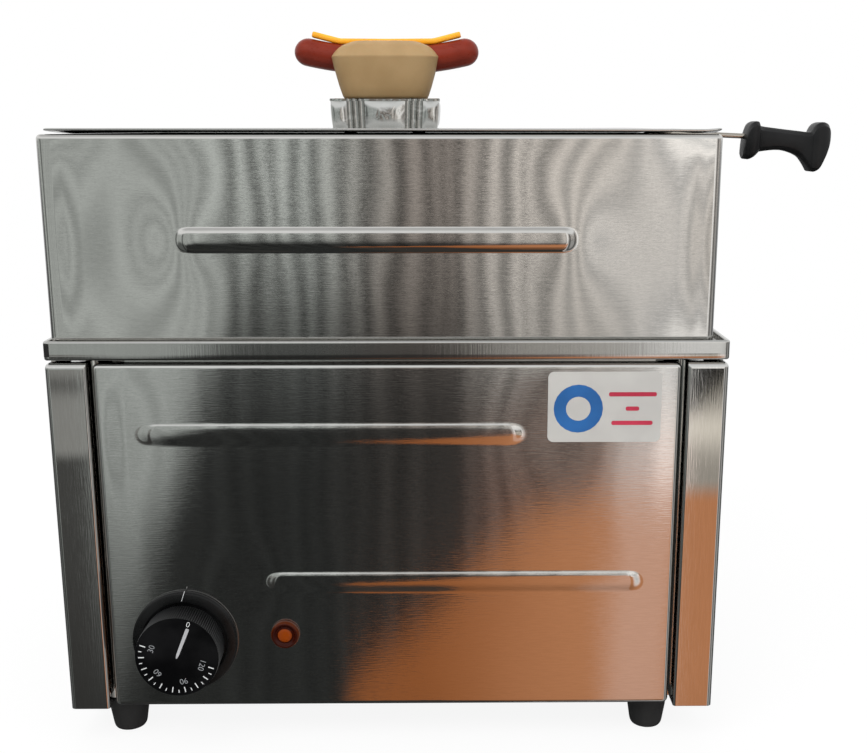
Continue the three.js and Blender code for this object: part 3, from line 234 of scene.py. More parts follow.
def ring(plan, inset, level, centre):
    """A plan's outline at an inset and a level. The straight sides shorten with the outline."""
    radius = max(station[4] for station in plan)
    flat = [max(abs(station[axis]) for station in plan if station[4]) for axis in (0, 1)]
    beyond = max(inset - radius, 0)
    points = []
    for station in plan:
        x, y = inset_point(station, inset)
        if not station[4]:
            x *= 1 if station[2] else (flat[0] - beyond) / flat[0]
            y *= 1 if station[3] else (flat[1] - beyond) / flat[1]
        points.append((centre[0] + x, centre[1] + y, level))
    return points


def bead_height(x, z, beads):
    """How far a sheet stands proud for its pressed beads: steep above the crest and sloping below it."""
    rise = 0.0
    for middle_x, middle_z, depth, crest, fall, foot, end in beads:
        up = (z - middle_z) / (BEAD_HEIGHT / 2)
        if abs(up) < 1:
            half = BEAD_LENGTH / 2 - end * (1 - math.sqrt(1 - up * up)) * BEAD_ROUNDING
            along = max(abs(x - middle_x) - half + end, 0) / end
            reach = (up - crest) / (1 - crest) if up > crest else (crest - up) / (1 + crest)
            if along < 1:
                slope = 1 - reach ** BEAD_RISE if up > crest else (1 - reach ** fall) ** foot
                rise = depth * slope * (0.5 + 0.5 * math.cos(math.pi * along))
    return rise


def bead_ends(beads, middle_x=0):
    """Places 4 mm inside the beads' ends, measured from the middle of their sheet."""
    return [bead[0] - middle_x + side * (BEAD_LENGTH / 2 - 4) for bead in beads for side in (-1, 1)]


def revolve(profile, sides, centre, upright=False, looped=False, wave=None):
    """A form turned about a line to the front, or an upright one, from (radius, distance) pairs."""
    rings = []
    for radius, distance in profile:
        turn = []
        for angle in circle(sides):
            reach = radius + (wave(angle, radius, distance) if wave else 0)
            a, b = reach * math.cos(angle), reach * math.sin(angle)
            x, y, z = (a, b, distance) if upright else (a, -distance, b)
            turn.append((centre[0] + x, centre[1] + y, centre[2] + z))
        rings.append(turn)
    return skin(rings, looped=looped, capped=not looped)


def rounded_path(corners, radius, steps=6):
    """A path's points with its corners rounded."""
    corners = [np.array(c, float) for c in corners]
    points = [corners[0]]
    for before, corner, after in zip(corners, corners[1:], corners[2:]):
        arriving = (corner - before) / np.linalg.norm(corner - before)
        leaving = (after - corner) / np.linalg.norm(after - corner)
        turn = math.acos(float(np.clip(arriving @ leaving, -1, 1)))
        reach = radius * math.tan(turn / 2)
        start, end = corner - arriving * reach, corner + leaving * reach
        for step in range(steps + 1):
            t = step / steps
            points.append((1 - t) ** 2 * start + 2 * t * (1 - t) * corner + t * t * end)
    return [*points, corners[-1]]


def swept(path, radius, sides=12, looped=False):
    """Points and faces of a round wire along a path."""
    path = [np.array(p, float) for p in path]
    last = len(path) - 1
    rings = []
    normal = None
    for i, point in enumerate(path):
        before = path[i - 1] if i or looped else point
        after = path[(i + 1) % len(path)] if i < last or looped else point
        along = (after - before) / np.linalg.norm(after - before)
        if normal is None:
            helper = np.array([0, 0, 1.0]) if abs(along[2]) < 0.9 else np.array([0, 1.0, 0])
            normal = np.cross(helper, along)
        normal = normal - along * (normal @ along)
        normal = normal / np.linalg.norm(normal)
        beside = np.cross(along, normal)
        turn = [math.cos(a) * normal + math.sin(a) * beside for a in circle(sides)]
        rings.append([point + radius * outwards for outwards in turn])
    return skin(rings, looped=looped, capped=not looped)


def merged(*parts):
    """One mesh's points and faces from several."""
    points, faces = [], []
    for part_points, part_faces in parts:
        start = len(points)
        points.extend(part_points)
        faces.extend(tuple(start + k for k in face) for face in part_faces)
    return points, faces


def superellipse(half_x, half_y, power, count):
    """Points round a soft rectangle."""
    points = []
    for angle in circle(count):
        c, s = math.cos(angle), math.sin(angle)
        size = (abs(c) ** power + abs(s) ** power) ** (-1 / power)
        points.append((half_x * size * c, half_y * size * s))
    return points


def buckle(x, z, dishes):
    """How far a thin sheet sinks in at its dished places."""
    sink = 0.0
    for middle_x, middle_z, depth, wide, tall in dishes:
        sink += depth * math.exp(-((x - middle_x) / wide) ** 2 / 2 - ((z - middle_z) / tall) ** 2 / 2)
    return sink


def fade(distance, reach):
    """From 0 at an edge to 1 at the given reach."""
    share = min(max(distance / reach, 0), 1)
    return share * share * (3 - 2 * share)


# Materials

class Field:
    """A socket that can be calculated with."""

    def __init__(self, socket):
        self.socket = socket
        self.tree = socket.id_data

    def math(self, operation, *others):
        return new_field(self.tree, "Math", enumerate((self, *others)), operation=operation)

    def __add__(self, other):
        return self.math("ADD", other)

    def __sub__(self, other):
        return self.math("SUBTRACT", other)

    def __mul__(self, other):
        return self.math("MULTIPLY", other)

    def __truediv__(self, other):
        return self.math("DIVIDE", other)

    def step(self, low, high, bottom=0.0, top=1.0):
        """A smooth step from bottom to top as this goes from low to high."""
        inputs = {"Value": self, "From Min": low, "From Max": high, "To Min": bottom, "To Max": top}
        return new_field(self.tree, "MapRange", inputs, interpolation_type="SMOOTHSTEP")

    def ramp(self, *stops):
        """Colours along this value, as (place, colour) pairs."""
        node = add_node(self.tree, "ValToRGB", {"Fac": self})
        elements = node.color_ramp.elements
        while len(elements) < len(stops):
            elements.new(0.5)
        for element, (at, color) in zip(elements, stops):
            element.position = at
            element.color = (*color, 1)
        return Field(node.outputs["Color"])


def feed(value, slot):
    """Links a field to a socket, or sets the socket's own constant."""
    if isinstance(value, Field):
        value.tree.links.new(value.socket, slot)
    else:
        slot.default_value = (*value, 1) if slot.type == "RGBA" else value


def add_node(tree, kind, inputs=(), **settings):
    """A shader node with its settings, and with fields or constants for its inputs."""
    node = tree.nodes.new(f"ShaderNode{kind}")
    for name, value in settings.items():
        setattr(node, name, value)
    for name, value in dict(inputs).items():
        feed(value, node.inputs[name])
    return node


def new_field(tree, kind, inputs=(), output=0, **settings):
    """A new node's output, to calculate with."""
    return Field(add_node(tree, kind, inputs, **settings).outputs[output])


def mix(share, first, second):
    """A colour between two."""
    return new_field(share.tree, "Mix", {0: share, 6: first, 7: second}, output=2, data_type="RGBA")


def scaled(color, factor):
    """A colour times a value."""
    return new_field(factor.tree, "VectorMath", {0: color, "Scale": factor}, operation="SCALE")


def added(first, second):
    """Two colours' sum."""
    return new_field(first.tree, "VectorMath", {0: first, 1: second}, operation="ADD")


def blended(share, first, second):
    """A shader between two."""
    return new_field(share.tree, "MixShader", {0: share, 1: first, 2: second})


def coordinates(tree, scale=(1, 1, 1), output="Object"):
    source = new_field(tree, "TexCoord", output=output)
    return new_field(tree, "Mapping", {"Vector": source, "Scale": scale})


def components(vector):
    """A vector's x, y and z."""
    return [Field(output) for output in add_node(vector.tree, "SeparateXYZ", {0: vector}).outputs]


def noise(tree, scale, detail=2, distortion=0):
    """Noise with its cells per metre, for all axes or for each."""
    scale = scale if isinstance(scale, tuple) else (scale, scale, scale)
    inputs = {"Vector": coordinates(tree, scale), "Scale": 1, "Detail": detail, "Distortion": distortion}
    return new_field(tree, "TexNoise", inputs)


def bump(height, strength, distance):
    """A normal from a height field, with its distance in millimetres."""
    inputs = {"Height": height, "Strength": strength, "Distance": distance * MM}
    return new_field(height.tree, "Bump", inputs)


def new_material(name):
    """A material and its node tree."""
    material = bpy.data.materials.new(name)
    material.use_nodes = True
    return material, material.node_tree


def shade(material, color, rough, **inputs):
    """Feeds the shader's colour and roughness, and its other inputs by name."""
    slots = material.node_tree.nodes["Principled BSDF"].inputs
    for name, value in {"Base Color": color, "Roughness": rough, **inputs}.items():
        feed(value, slots[name.replace("_", " ")])
    return material


def darker(color, share):
    return tuple(share * c for c in color)


def steel(name, grain, color=(0.62, 0.62, 0.605), rough=(0.045, 0.065), anisotropic=0.95, rotation=0.25,
          waves=0.2, scratch=0.011):
    """Brushed stainless sheet. Grain holds the brush marks' cells per metre on each axis.

    Waves is how far the thin sheet buckles and scratch how deep its brush marks are, in millimetres.
    """
    material, tree = new_material(name)
    marks = noise(tree, grain)
    relief = noise(tree, (17, 17, 11), detail=1) * waves + marks * scratch
    tones = mix(marks.step(0.3, 0.7), darker(color, 0.95), color)
    return shade(material, tones, marks.step(0.25, 0.75, *rough), Metallic=1.0, Anisotropic=anisotropic,
                 Anisotropic_Rotation=rotation, Normal=bump(relief, 1, 1),
                 Tangent=new_field(tree, "Tangent", direction_type="RADIAL", axis="Z"))


def polished(name, color, rough=(0.03, 0.09), ripple=0.06):
    """Bright metal. Ripple is how far its thin surface wavers, in millimetres."""
    material, tree = new_material(name)
    cloud = noise(tree, 160, detail=3)
    ripples = noise(tree, (120, 120, 90), detail=1, distortion=1.2)
    tones = mix(cloud.step(0.35, 0.7), darker(color, 0.94), color)
    return shade(material, tones, cloud.step(0.3, 0.7, *rough), Metallic=1.0, Normal=bump(ripples, 1, ripple))


def plain_metal(name, color, rough):
    """Small metal pieces: turned, plated or drawn."""
    material, tree = new_material(name)
    cloud = noise(tree, 400, detail=4)
    tones = mix(cloud.step(0.3, 0.75), darker(color, 0.85), color)
    return shade(material, tones, cloud.step(0.25, 0.75, rough - 0.08, rough + 0.1), Metallic=1.0,
                 Normal=bump(cloud, 0.2, 0.03))


def moulded(name, color, rough=0.45, grain=900, relief=0.15, **settings):
    """Moulded plastic or rubber with a fine surface grain."""
    material, tree = new_material(name)
    fine, cloud = noise(tree, grain, detail=3), noise(tree, 45, detail=3)
    lighter = tuple(min(1.0, 1.25 * c + 0.004) for c in color)
    return shade(material, mix(cloud.step(0.35, 0.7), color, lighter),
                 (fine * 0.5 + cloud * 0.5).step(0.3, 0.7, rough - 0.07, rough + 0.1),
                 Normal=bump(fine, relief, 0.05), **settings)


def bun_material():
    material, tree = new_material("bun_tan")
    cloud, pores = noise(tree, 55, detail=4), noise(tree, 1400, detail=3)
    return shade(material, mix(cloud.step(0.3, 0.72), (0.325, 0.208, 0.09), (0.38, 0.25, 0.116)),
                 pores.step(0.3, 0.7, 0.5, 0.66), Normal=bump(cloud * 0.7 + pores * 0.3, 0.25, 0.12),
                 Subsurface_Weight=0.06, Subsurface_Scale=0.004)


def sausage_material():
    material, tree = new_material("sausage_red")
    cloud, fine = noise(tree, 70, detail=4), noise(tree, (300, 900, 900), detail=3)
    return shade(material, mix(cloud.step(0.3, 0.7), (0.165, 0.016, 0.006), (0.215, 0.023, 0.009)),
                 fine.step(0.3, 0.7, 0.26, 0.42), Normal=bump(cloud * 0.8 + fine * 0.2, 0.3, 0.15),
                 Coat_Weight=0.1, Coat_Roughness=0.06, Specular_IOR_Level=0.2)


def axis_distance(tree, x, z):
    """The distance in centimetres from a line that runs straight back at a point of the front."""
    middle = place([(x, 0, z)])[0]
    at_x, _, at_z = components(coordinates(tree))
    across, up = at_x - float(middle[0]), at_z - float(middle[2])
    return (across * across + up * up).math("SQRT") * 100


def knob_material():
    """Black plastic whose rib crests are painted paler than the grooves between them, a painted highlight."""
    material, tree = new_material("knob_black")
    wear_and_sheen = noise(tree, 260, detail=3)
    # Painted highlight: the paler colour on the rib crests stands in for light catching them.
    ribs = (axis_distance(tree, DIAL_X, DIAL_Z) + wear_and_sheen * 0.01).step(2.085, 2.12)
    return shade(material, mix(ribs, (0.004, 0.0042, 0.0045), (0.045, 0.046, 0.047)),
                 wear_and_sheen.step(0.3, 0.7, 0.38, 0.5), Normal=bump(wear_and_sheen, 0.15, 0.05))


def lens_material():
    """Dark red plastic round a plain orange middle, with an amber rim."""
    material, tree = new_material("amber_lens")
    cloud = noise(tree, 300, detail=3)
    tones = (axis_distance(tree, LAMP_X, LAMP_Z) + cloud * 0.03).ramp(
        (0, (0.21, 0.036, 0.002)), (0.36, (0.19, 0.032, 0.002)), (0.4, (0.028, 0.003, 0.001)),
        (0.66, (0.024, 0.003, 0.001)), (0.7, (0.06, 0.01, 0.001)), (0.76, (0.07, 0.013, 0.001)))
    return shade(material, tones, cloud.step(0.3, 0.7, 0.12, 0.25), Normal=bump(cloud, 0.15, 0.1),
                 Specular_IOR_Level=0.15)


def silver_material():
    material, tree = new_material("sticker_silver")
    cloud = noise(tree, 60)
    return shade(material, mix(cloud.step(0.3, 0.7), (0.45, 0.44, 0.42), (0.49, 0.48, 0.455)),
                 cloud.step(0.3, 0.7, 0.4, 0.5), Metallic=0.15)


FRONT_STEEL = steel("front_steel", (140, 500, 1900), scratch=0.013)
CHAMBER_STEEL = steel("chamber_steel", (140, 500, 1900), (0.63, 0.625, 0.605), scratch=0.009)
STRIP_STEEL = steel("strip_steel", (1900, 1900, 100), rough=(0.03, 0.042), rotation=0.0, waves=0.08,
                    scratch=0.006)
COLLAR_STEEL = steel("collar_steel", (1500, 300, 25), (0.54, 0.54, 0.525), rotation=0.0, waves=0.1,
                     scratch=0.012)
LID_STEEL = steel("lid_steel", (25, 1500, 500), rough=(0.12, 0.2), anisotropic=0.6, scratch=0.004)
INNER_STEEL = steel("inner_steel", (30, 600, 900), rough=(0.2, 0.32), anisotropic=0.3, scratch=0.004)
MIRROR = polished("mirror", (0.57, 0.575, 0.56), rough=(0.02, 0.05), ripple=0.5)
WIRE = polished("bright_wire", (0.46, 0.43, 0.38), rough=(0.14, 0.26))
ZINC = plain_metal("zinc", (0.55, 0.56, 0.57), 0.35)
BRASS = plain_metal("brass", (0.62, 0.46, 0.19), 0.3)
COPPER = plain_metal("copper", (0.66, 0.3, 0.16), 0.3)
PLAIN_BLACK = moulded("plain_black", (0.009, 0.0092, 0.0095), rough=0.4)
BEZEL_BLACK = moulded("bezel_black", (0.0022, 0.0024, 0.0026), rough=0.3, Specular_IOR_Level=0.25)
DIAL_BLACK = moulded("dial_black", (0.001, 0.0012, 0.0016), rough=0.5, Specular_IOR_Level=0.08)
GRIP_BLACK = moulded("grip_black", (0.0035, 0.0037, 0.0042), rough=0.4, grain=1300, relief=0.3,
                     Specular_IOR_Level=0.28)
# Painted shadow for the collar's seam.
PAINTED_SEAM_SHADOW = moulded("seam_shadow", (0.004, 0.004, 0.004), rough=0.6)
PALE_PLASTIC = moulded("pale_plastic", (0.33, 0.33, 0.34))
GREY_PRINT = moulded("grey_print", (0.24, 0.25, 0.26), rough=0.5)
PRINT = moulded("print", (0.55, 0.56, 0.56), rough=0.5)
RUBBER = moulded("rubber", (0.012, 0.012, 0.012), rough=0.75, grain=1500, relief=0.4)
MUSTARD = moulded("mustard_yellow", (0.87, 0.37, 0.01), rough=0.32, grain=500, relief=0.1, Coat_Weight=0.25)
BROWN_LEAD = moulded("brown_lead", (0.14, 0.05, 0.02))
BLUE_LEAD = moulded("blue_lead", (0.03, 0.09, 0.24))
STICKER_BLUE = moulded("sticker_blue", (0.003, 0.08, 0.26), rough=0.5, grain=600, relief=0.05)
STICKER_RED = moulded("sticker_red", (0.36, 0.012, 0.04), rough=0.5, grain=600, relief=0.05)
STICKER_SILVER = silver_material()
BUN = bun_material()
SAUSAGE = sausage_material()
KNOB_BLACK = knob_material()
LENS = lens_material()


# Cabinet

def side_plan():
    """The right panel's outline from its front lip to its back lip, as stations that follow the inset."""
    half, inside = WIDTH / 2, WIDTH / 2 - STRIP
    bend_x, corner_x = inside + STRIP_BEND, half - CORNER
    held = (0, 0, 0, 0, 0)

    def bend(middle_y, first):
        return [(bend_x + x, middle_y + y, *held) for x, y in arc(STRIP_BEND, first, first + 90, 7)]

    def corner(middle_y, back):
        return [(corner_x, middle_y, *normal, CORNER, 1, back)
                for normal in arc(1, 45 * back - 45, 45 * back + 45, 8)]

    def flat(low, high, count):
        return [low + 0.2, *np.linspace(low, high, count)[1:-1], high - 0.2]

    plan = [(inside - LIP, STRIP_RETURN, *held)]
    plan += [(inside, y, *held) for y in (STRIP_RETURN, 9, 6, 4)]
    plan += bend(STRIP_BEND, 180)
    plan += [(x, 0, 0, -1, 0, 0, 0) for x in flat(bend_x, corner_x, 8)]
    plan += corner(CORNER, -1)
    plan += [(half, y, 1, 0, 0, 0, 0) for y in flat(CORNER, DEPTH - CORNER, 20)]
    plan += corner(DEPTH - CORNER, 1)
    plan += bend(DEPTH - STRIP_BEND, 90)
    return plan + [(x, DEPTH - 3, *held) for x in (inside, inside - LIP)]


def side_ring(plan, inset, level):
    """The outline at a level, kept inside the rounded top."""
    held = min(inset, TOP_ROUND)
    points = [inset_point(station, inset) for station in plan]
    return [(x, min(max(y, held), DEPTH - held), level) for x, y in points]


def add_side_panel(side, sign):
    plan = side_plan()
    levels = np.linspace(BOTTOM, TOP - TOP_ROUND, 24)
    levels = [levels[0], levels[0] + 0.15, *levels[1:-1], levels[-1] - 0.2, levels[-1]]
    rings = [side_ring(plan, 0, z) for z in levels]
    for across, up in arc(TOP_ROUND, 0, 90, 6)[1:]:
        rings.append(side_ring(plan, TOP_ROUND - across, TOP - TOP_ROUND + up))
    rings.append(side_ring(plan, 12, TOP))
    points, faces = skin(rings, closed=False)
    points = [(sign * x, y, z) for x, y, z in points]
    add_piece(f"side_{side}", (points, faces), "cabinet", STRIP_STEEL, "steel", f"side_panel_{side}",
              flip=sign < 0, sheet=True)


def add_front_panel():
    """A tray with rounded edges. Its face is a grid that rises over the beads."""
    low, high = BOTTOM + PANEL_GAP, TOP - PANEL_GAP
    edge, margin, beads = PANEL_CORNER, 12, (UPPER_BEAD, LOWER_BEAD)
    columns = stations(edge - PANEL_HALF, PANEL_HALF - edge, 4, marks=bead_ends(beads))
    rows = stations(low + edge, high - edge, 4, marks=[bead[1] for bead in beads], reach=7, fine=0.4)

    def face_point(x, z):
        flat = fade(PANEL_HALF - edge - abs(x), margin) * fade(min(z - low, high - z) - edge, margin)
        return x, PANEL_FACE + flat * buckle(x, z, PANEL_DISHES) - bead_height(x, z, beads), z

    points, faces = skin([[face_point(x, z) for x in columns] for z in rows], closed=False)
    table = np.arange(len(points)).reshape(len(rows), len(columns))
    borders = (table[0], table[:, -1], table[-1, ::-1], table[::-1, 0])
    normals = ((0, -1), (1, 0), (0, 1), (-1, 0))
    plan = []
    for number, (border, normal) in enumerate(zip(borders, normals)):
        plan += [(k, *normal) for k in border[1:-1].tolist()]
        plan += [(int(border[-1]), *turned) for turned in arc(1, 90 * number - 90, 90 * number, 7)]
    profile = [(0.25, 0)]
    profile += [(edge - PANEL_BEND + x, PANEL_BEND - y) for x, y in arc(PANEL_BEND, 90, 0, 7)]
    profile += [(edge, PANEL_FLANGE / 2), (edge, PANEL_FLANGE)]
    previous = [k for k, _, _ in plan]
    for reach, back in profile:
        current = list(range(len(points), len(points) + len(plan)))
        for k, across, up in plan:
            x, _, z = points[k]
            points.append((x + across * reach, PANEL_FACE + back, z + up * reach))
        for k, here in enumerate(current):
            beside = (k + 1) % len(current)
            face = (previous[k], here, current[beside], previous[beside])
            faces.append(face[:3] if face[3] == face[0] else face)
        previous = current
    add_piece("front_sheet", (points, faces), "cabinet", FRONT_STEEL, "steel", "front_panel", sheet=True)


def add_mark(name, corners, near, far, body, material=PRINT, slot=None, *nodes):
    """A thin printed mark, from its outline on the X-Z plane, between two y values."""
    rings = [[(x, y, z) for x, z in corners] for y in (near, far)]
    add_piece(name, skin(rings, capped=True), body, material, slot, *nodes)


def add_collar():
    """The gutter round the chamber's foot, with a rolled hem, and a painted shadow at its front left: a dark
    mark over the seam.
    """
    plan = rounded_plan(WIDTH / 2, DEPTH / 2, CORNER, front=[-167.5, -166.6, *np.linspace(-162, 167.5, 70)])
    profile = [(6, 0), (3, 0.6), (1.2, 0.9), (0.7, 1.0), (0.3, 1.25), (0.08, 1.6), (0.0, 2.1)]
    profile += [(0.0, z) for z in np.linspace(4.2, COLLAR_HEIGHT - 1.4, 5)]
    profile += [(COLLAR_HEM - x, COLLAR_HEIGHT - COLLAR_HEM + y) for x, y in arc(COLLAR_HEM, 0, 180, 8)]
    profile += [(2.1, 3.4), (2.4, 2.2), (3.4, 1.2), (8, 1), (16, 1), (23, 1), (24, 0.8), (24, -5),
                (24, -12), (23, -12), (23, -5), (23, 0), (10, 0)]
    rings = [ring(plan, inset, COLLAR_BOTTOM + level, (0, MIDDLE_Y)) for inset, level in profile]
    add_piece("collar", skin(rings, looped=True), "cabinet", COLLAR_STEEL, "steel", "collar_frame",
              sharp=50, flip=True)
    # Painted shadow: a dark box laid over the seam, where the slot would stand in shade.
    left, right = -169.3, -166.7
    low, high = COLLAR_BOTTOM + 2.9, COLLAR_BOTTOM + COLLAR_HEIGHT - 1.2
    corners = [(left, low), (right, low), (right, high), (left, high)]
    add_mark("collar_painted_seam_shadow", corners, 0.6, -0.05, "cabinet", PAINTED_SEAM_SHADOW)


# Chamber, lid and figure

def add_chamber():
    half_x, half_y = CHAMBER_WIDTH / 2, CHAMBER_DEPTH / 2
    flat_x = half_x - CHAMBER_CORNER
    front = stations(-flat_x, flat_x, 4, marks=bead_ends([CHAMBER_BEAD], CHAMBER_X))
    plan = rounded_plan(half_x, half_y, CHAMBER_CORNER, front=front)
    levels = stations(CHAMBER_BOTTOM, RIM_TOP - RIM_ROLL, 4, marks=[CHAMBER_BEAD[1]], reach=7, fine=0.4)
    profile = [(0, z) for z in levels]
    profile += [(RIM_ROLL - x, RIM_TOP - RIM_ROLL + y) for x, y in arc(RIM_ROLL, 0, 90, 7)[1:]]
    profile += [(6, RIM_TOP), (RIM_LIP, RIM_TOP)]
    rings = []
    for inset, level in profile:
        outline = ring(plan, inset, level, (CHAMBER_X, MIDDLE_Y))
        for k, station in enumerate(plan):
            if station[2:5] == (0, -1, 0):
                x, y, z = outline[k]
                flat = fade(half_x - abs(x - CHAMBER_X), 16) * fade(RIM_TOP - z, 14)
                sink = flat * buckle(x, z, CHAMBER_DISHES) - bead_height(x, z, (CHAMBER_BEAD,))
                outline[k] = (x, y + sink, z)
        rings.append(outline)
    add_piece("chamber_wall", skin(rings), "chamber", CHAMBER_STEEL, "steel", "steam_chamber", sheet=True)


def lid_level(x, y):
    """The lid's underside: raised inside and along the front, and down on the rim at the other three edges.

    At the right it crowns over the basket's rod.
    """
    share = (x - LID_LEFT) / LID_WIDTH
    across = (y - MIDDLE_Y) / (LID_DEPTH / 2)
    lip = (max(0, -across - 0.6) / 0.4) ** 2
    inside = fade(share, 0.1) * fade(1 - share, 0.1) * fade(1 - across, 0.35)
    level = RIM_TOP + 0.05 + max(lip, inside) * (LID_LOW - LID_DROP * share - RIM_TOP)
    right = max(0, share - 0.975) / 0.025
    front = max(0, -across - 0.9) / 0.1
    crown = 1.8 * share * (1 - share) + 1.5 * share ** 8
    return level + crown * (1 - across ** 2) ** 3 + 0.8 * right ** 2 * front


def add_lid():
    """A thin hemmed sheet whose front right corner is bent up a little."""
    plan = rounded_plan(LID_WIDTH / 2, LID_DEPTH / 2, 2.5, coarse=5, turn=6)
    centre = (LID_LEFT + LID_WIDTH / 2, MIDDLE_Y)
    half = LID_THICKNESS / 2
    inward = (12, 20, 30, 45, 60, 75, 90, 105, 115, 121)
    profile = [(inset, 0.3) for inset in inward[::-1]] + [(9, 0.3), (8.2, 0.25), (8, 0.1), (7.7, 0), (4, 0)]
    profile += [(half - x, half + y) for x, y in arc(half, -90, 90, 8)]
    profile += [(4, LID_THICKNESS), (8, LID_THICKNESS), (9.5, 1)] + [(inset, 1) for inset in inward]
    rings = [[(x, y, z + lid_level(x, y)) for x, y, z in ring(plan, inset, level, centre)]
             for inset, level in profile]
    add_piece("lid_sheet", skin(rings, capped=True), "lid", LID_STEEL, "steel", "lid", sharp=50)


def pedestal_outline():
    """The pedestal's plan with end blocks, three flutes on each side and a middle panel.

    Each point comes with its place across its own flat, or None on a flute.
    """
    half_x, half_y = PEDESTAL_WIDTH / 2, PEDESTAL_DEPTH / 2
    radius, flutes = 1.7, 3
    outer = half_x - 9
    inner = outer - 2 * radius * flutes

    def flat(start, end, count):
        return [(x, half_y, s) for x, s in zip(np.linspace(start, end, count), np.linspace(-1, 1, count))]

    def fluted(start):
        middles = [start - radius * (2 * flute + 1) for flute in range(flutes)]
        return [(middle + x, half_y - y, None) for middle in middles for x, y in arc(radius, 0, 180, 9)[1:]]

    front = flat(half_x, outer, 12) + fluted(outer) + flat(inner, -inner, 18)[1:] + fluted(-inner)
    front += flat(-outer, -half_x, 12)[1:]
    side = [(-half_x, y, s) for y, _, s in flat(half_y, -half_y, 20)[1:-1]]
    return front + side + [(-x, -y, s) for x, y, s in front + side]


def add_pedestal():
    outline = pedestal_outline()
    rings = []
    rim, pillow_depth, rim_proud = PEDESTAL_HEIGHT - 1.3, 1.2, 0.4
    for z in [-0.4, 0.4, *np.linspace(0.8, rim - 0.1, 15), rim, PEDESTAL_HEIGHT - 0.25, PEDESTAL_HEIGHT]:
        share = z / rim
        narrowing = 1 - 0.035 * max(0, 1 - share)
        proud = rim_proud if rim <= z < PEDESTAL_HEIGHT else 0
        upwards = 0 if z >= rim else 1 - min(1, abs(2 * share - 1)) ** 4
        turn = []
        for x, y, across in outline:
            pillow = 0 if across is None else (1 - across ** 4) * upwards
            on_side = abs(x) > PEDESTAL_WIDTH / 2 - 0.05
            out_x = math.copysign(proud + (pillow_depth * pillow if on_side else 0), x)
            out_y = math.copysign(proud + (0 if on_side else pillow_depth * pillow), y)
            turn.append((PEDESTAL_X + x * narrowing + out_x, MIDDLE_Y + y + out_y, PEDESTAL_BOTTOM + z))
        rings.append(turn)
    add_piece("pedestal", skin(rings, capped=True), "lid", MIRROR, "polished_steel", "handle_pedestal",
              sharp=32, flip=True)


def cut_away(piece, points, faces):
    """Cuts a closed form out of a piece."""
    cutter = add_mesh("cutter", points, faces)
    modifier = piece.modifiers.new("cut", "BOOLEAN")
    modifier.operation = "DIFFERENCE"
    modifier.solver = "EXACT"
    modifier.object = cutter
    evaluated = piece.evaluated_get(bpy.context.evaluated_depsgraph_get())
    piece.data = bpy.data.meshes.new_from_object(evaluated)
    piece.modifiers.clear()
    bpy.data.objects.remove(cutter)
    piece.data.set_sharp_from_angle(angle=math.radians(40))


def sausage_level(x):
    """The height of the bowed sausage's axis."""
    return BUN_BOTTOM + SAUSAGE_AXIS + SAUSAGE_RISE * (x / SAUSAGE_HALF) ** 2


def bed_rings():
    """Rings along the sausage's bed: round below, with straight sides up through the top."""
    half, high = SAUSAGE_RADIUS + 0.3, 24
    turn = [*arc(half, 0, -180, 20), (-half, high), (half, high)]
    return [[(FIGURE_X + x, MIDDLE_Y + across, sausage_level(x) + up) for across, up in turn]
            for x in np.linspace(-46, 46, 24)]


def add_bun():
    """A roll that widens to a ridge and rounds over its shoulders, with a bed for the sausage."""
    shares = [(0, 0.77, 0.78, 3.6), (0.012, 0.785, 0.81, 3.6), (0.05, 0.805, 0.85, 3.6),
              (0.2, 0.858, 0.9, 3.6), (0.36, 0.905, 0.94, 3.6), (0.54, 0.955, 0.97, 3.6),
              (0.7, 0.993, 0.995, 3.6), (0.722, 1, 1, 3.6), (0.74, 0.99, 0.99, 3.6),
              (0.78, 0.962, 0.955, 3.6), (0.825, 0.925, 0.915, 3.5), (0.875, 0.875, 0.87, 3.4),
              (0.92, 0.81, 0.81, 3.4), (0.95, 0.74, 0.745, 3.3), (0.98, 0.66, 0.67, 3.3),
              (0.995, 0.6, 0.6, 3.3), (1, 0.55, 0.55, 3.3)]
    rings = []
    for height, width, depth, power in shares:
        outline = superellipse(BUN_WIDTH / 2 * width, BUN_DEPTH / 2 * depth, power, 96)
        rings.append([(BUN_X + x, MIDDLE_Y + y, BUN_BOTTOM + height * BUN_HEIGHT) for x, y in outline])
    piece = add_mesh("bun_roll", *skin(rings, capped=True), sharp=24)
    cut_away(piece, *skin(bed_rings(), capped=True))
    dress(piece, "lid", BUN, "bun", "bun")


def add_sausage():
    """A bowed sausage with round ends and a shallow seam low along its front."""
    half, radius, steps = SAUSAGE_HALF, SAUSAGE_RADIUS, 24
    places = [(-half - x, reach) for x, reach in arc(radius, 0, 90, 9)[1:]]
    places += [(half * (2 * step / steps - 1), radius) for step in range(1, steps)]
    places += [(half + x, reach) for x, reach in arc(radius, 90, 0, 9)[:-1]]
    rings = []
    for x, reach in places:
        lean = math.atan(2 * SAUSAGE_RISE * x / half ** 2)
        turn = []
        for angle in circle(40):
            seam = 0.05 * math.exp(-((angle - math.radians(226)) / 0.05) ** 2)
            across, up = reach * (1 - seam) * math.cos(angle), reach * (1 - seam) * math.sin(angle)
            turn.append((FIGURE_X + x - up * math.sin(lean), MIDDLE_Y + across,
                         sausage_level(x) + up * math.cos(lean)))
        rings.append(turn)
    add_piece("sausage_form", skin(rings, capped=True), "lid", SAUSAGE, "sausage", "sausage", sharp=60,
              flip=True)


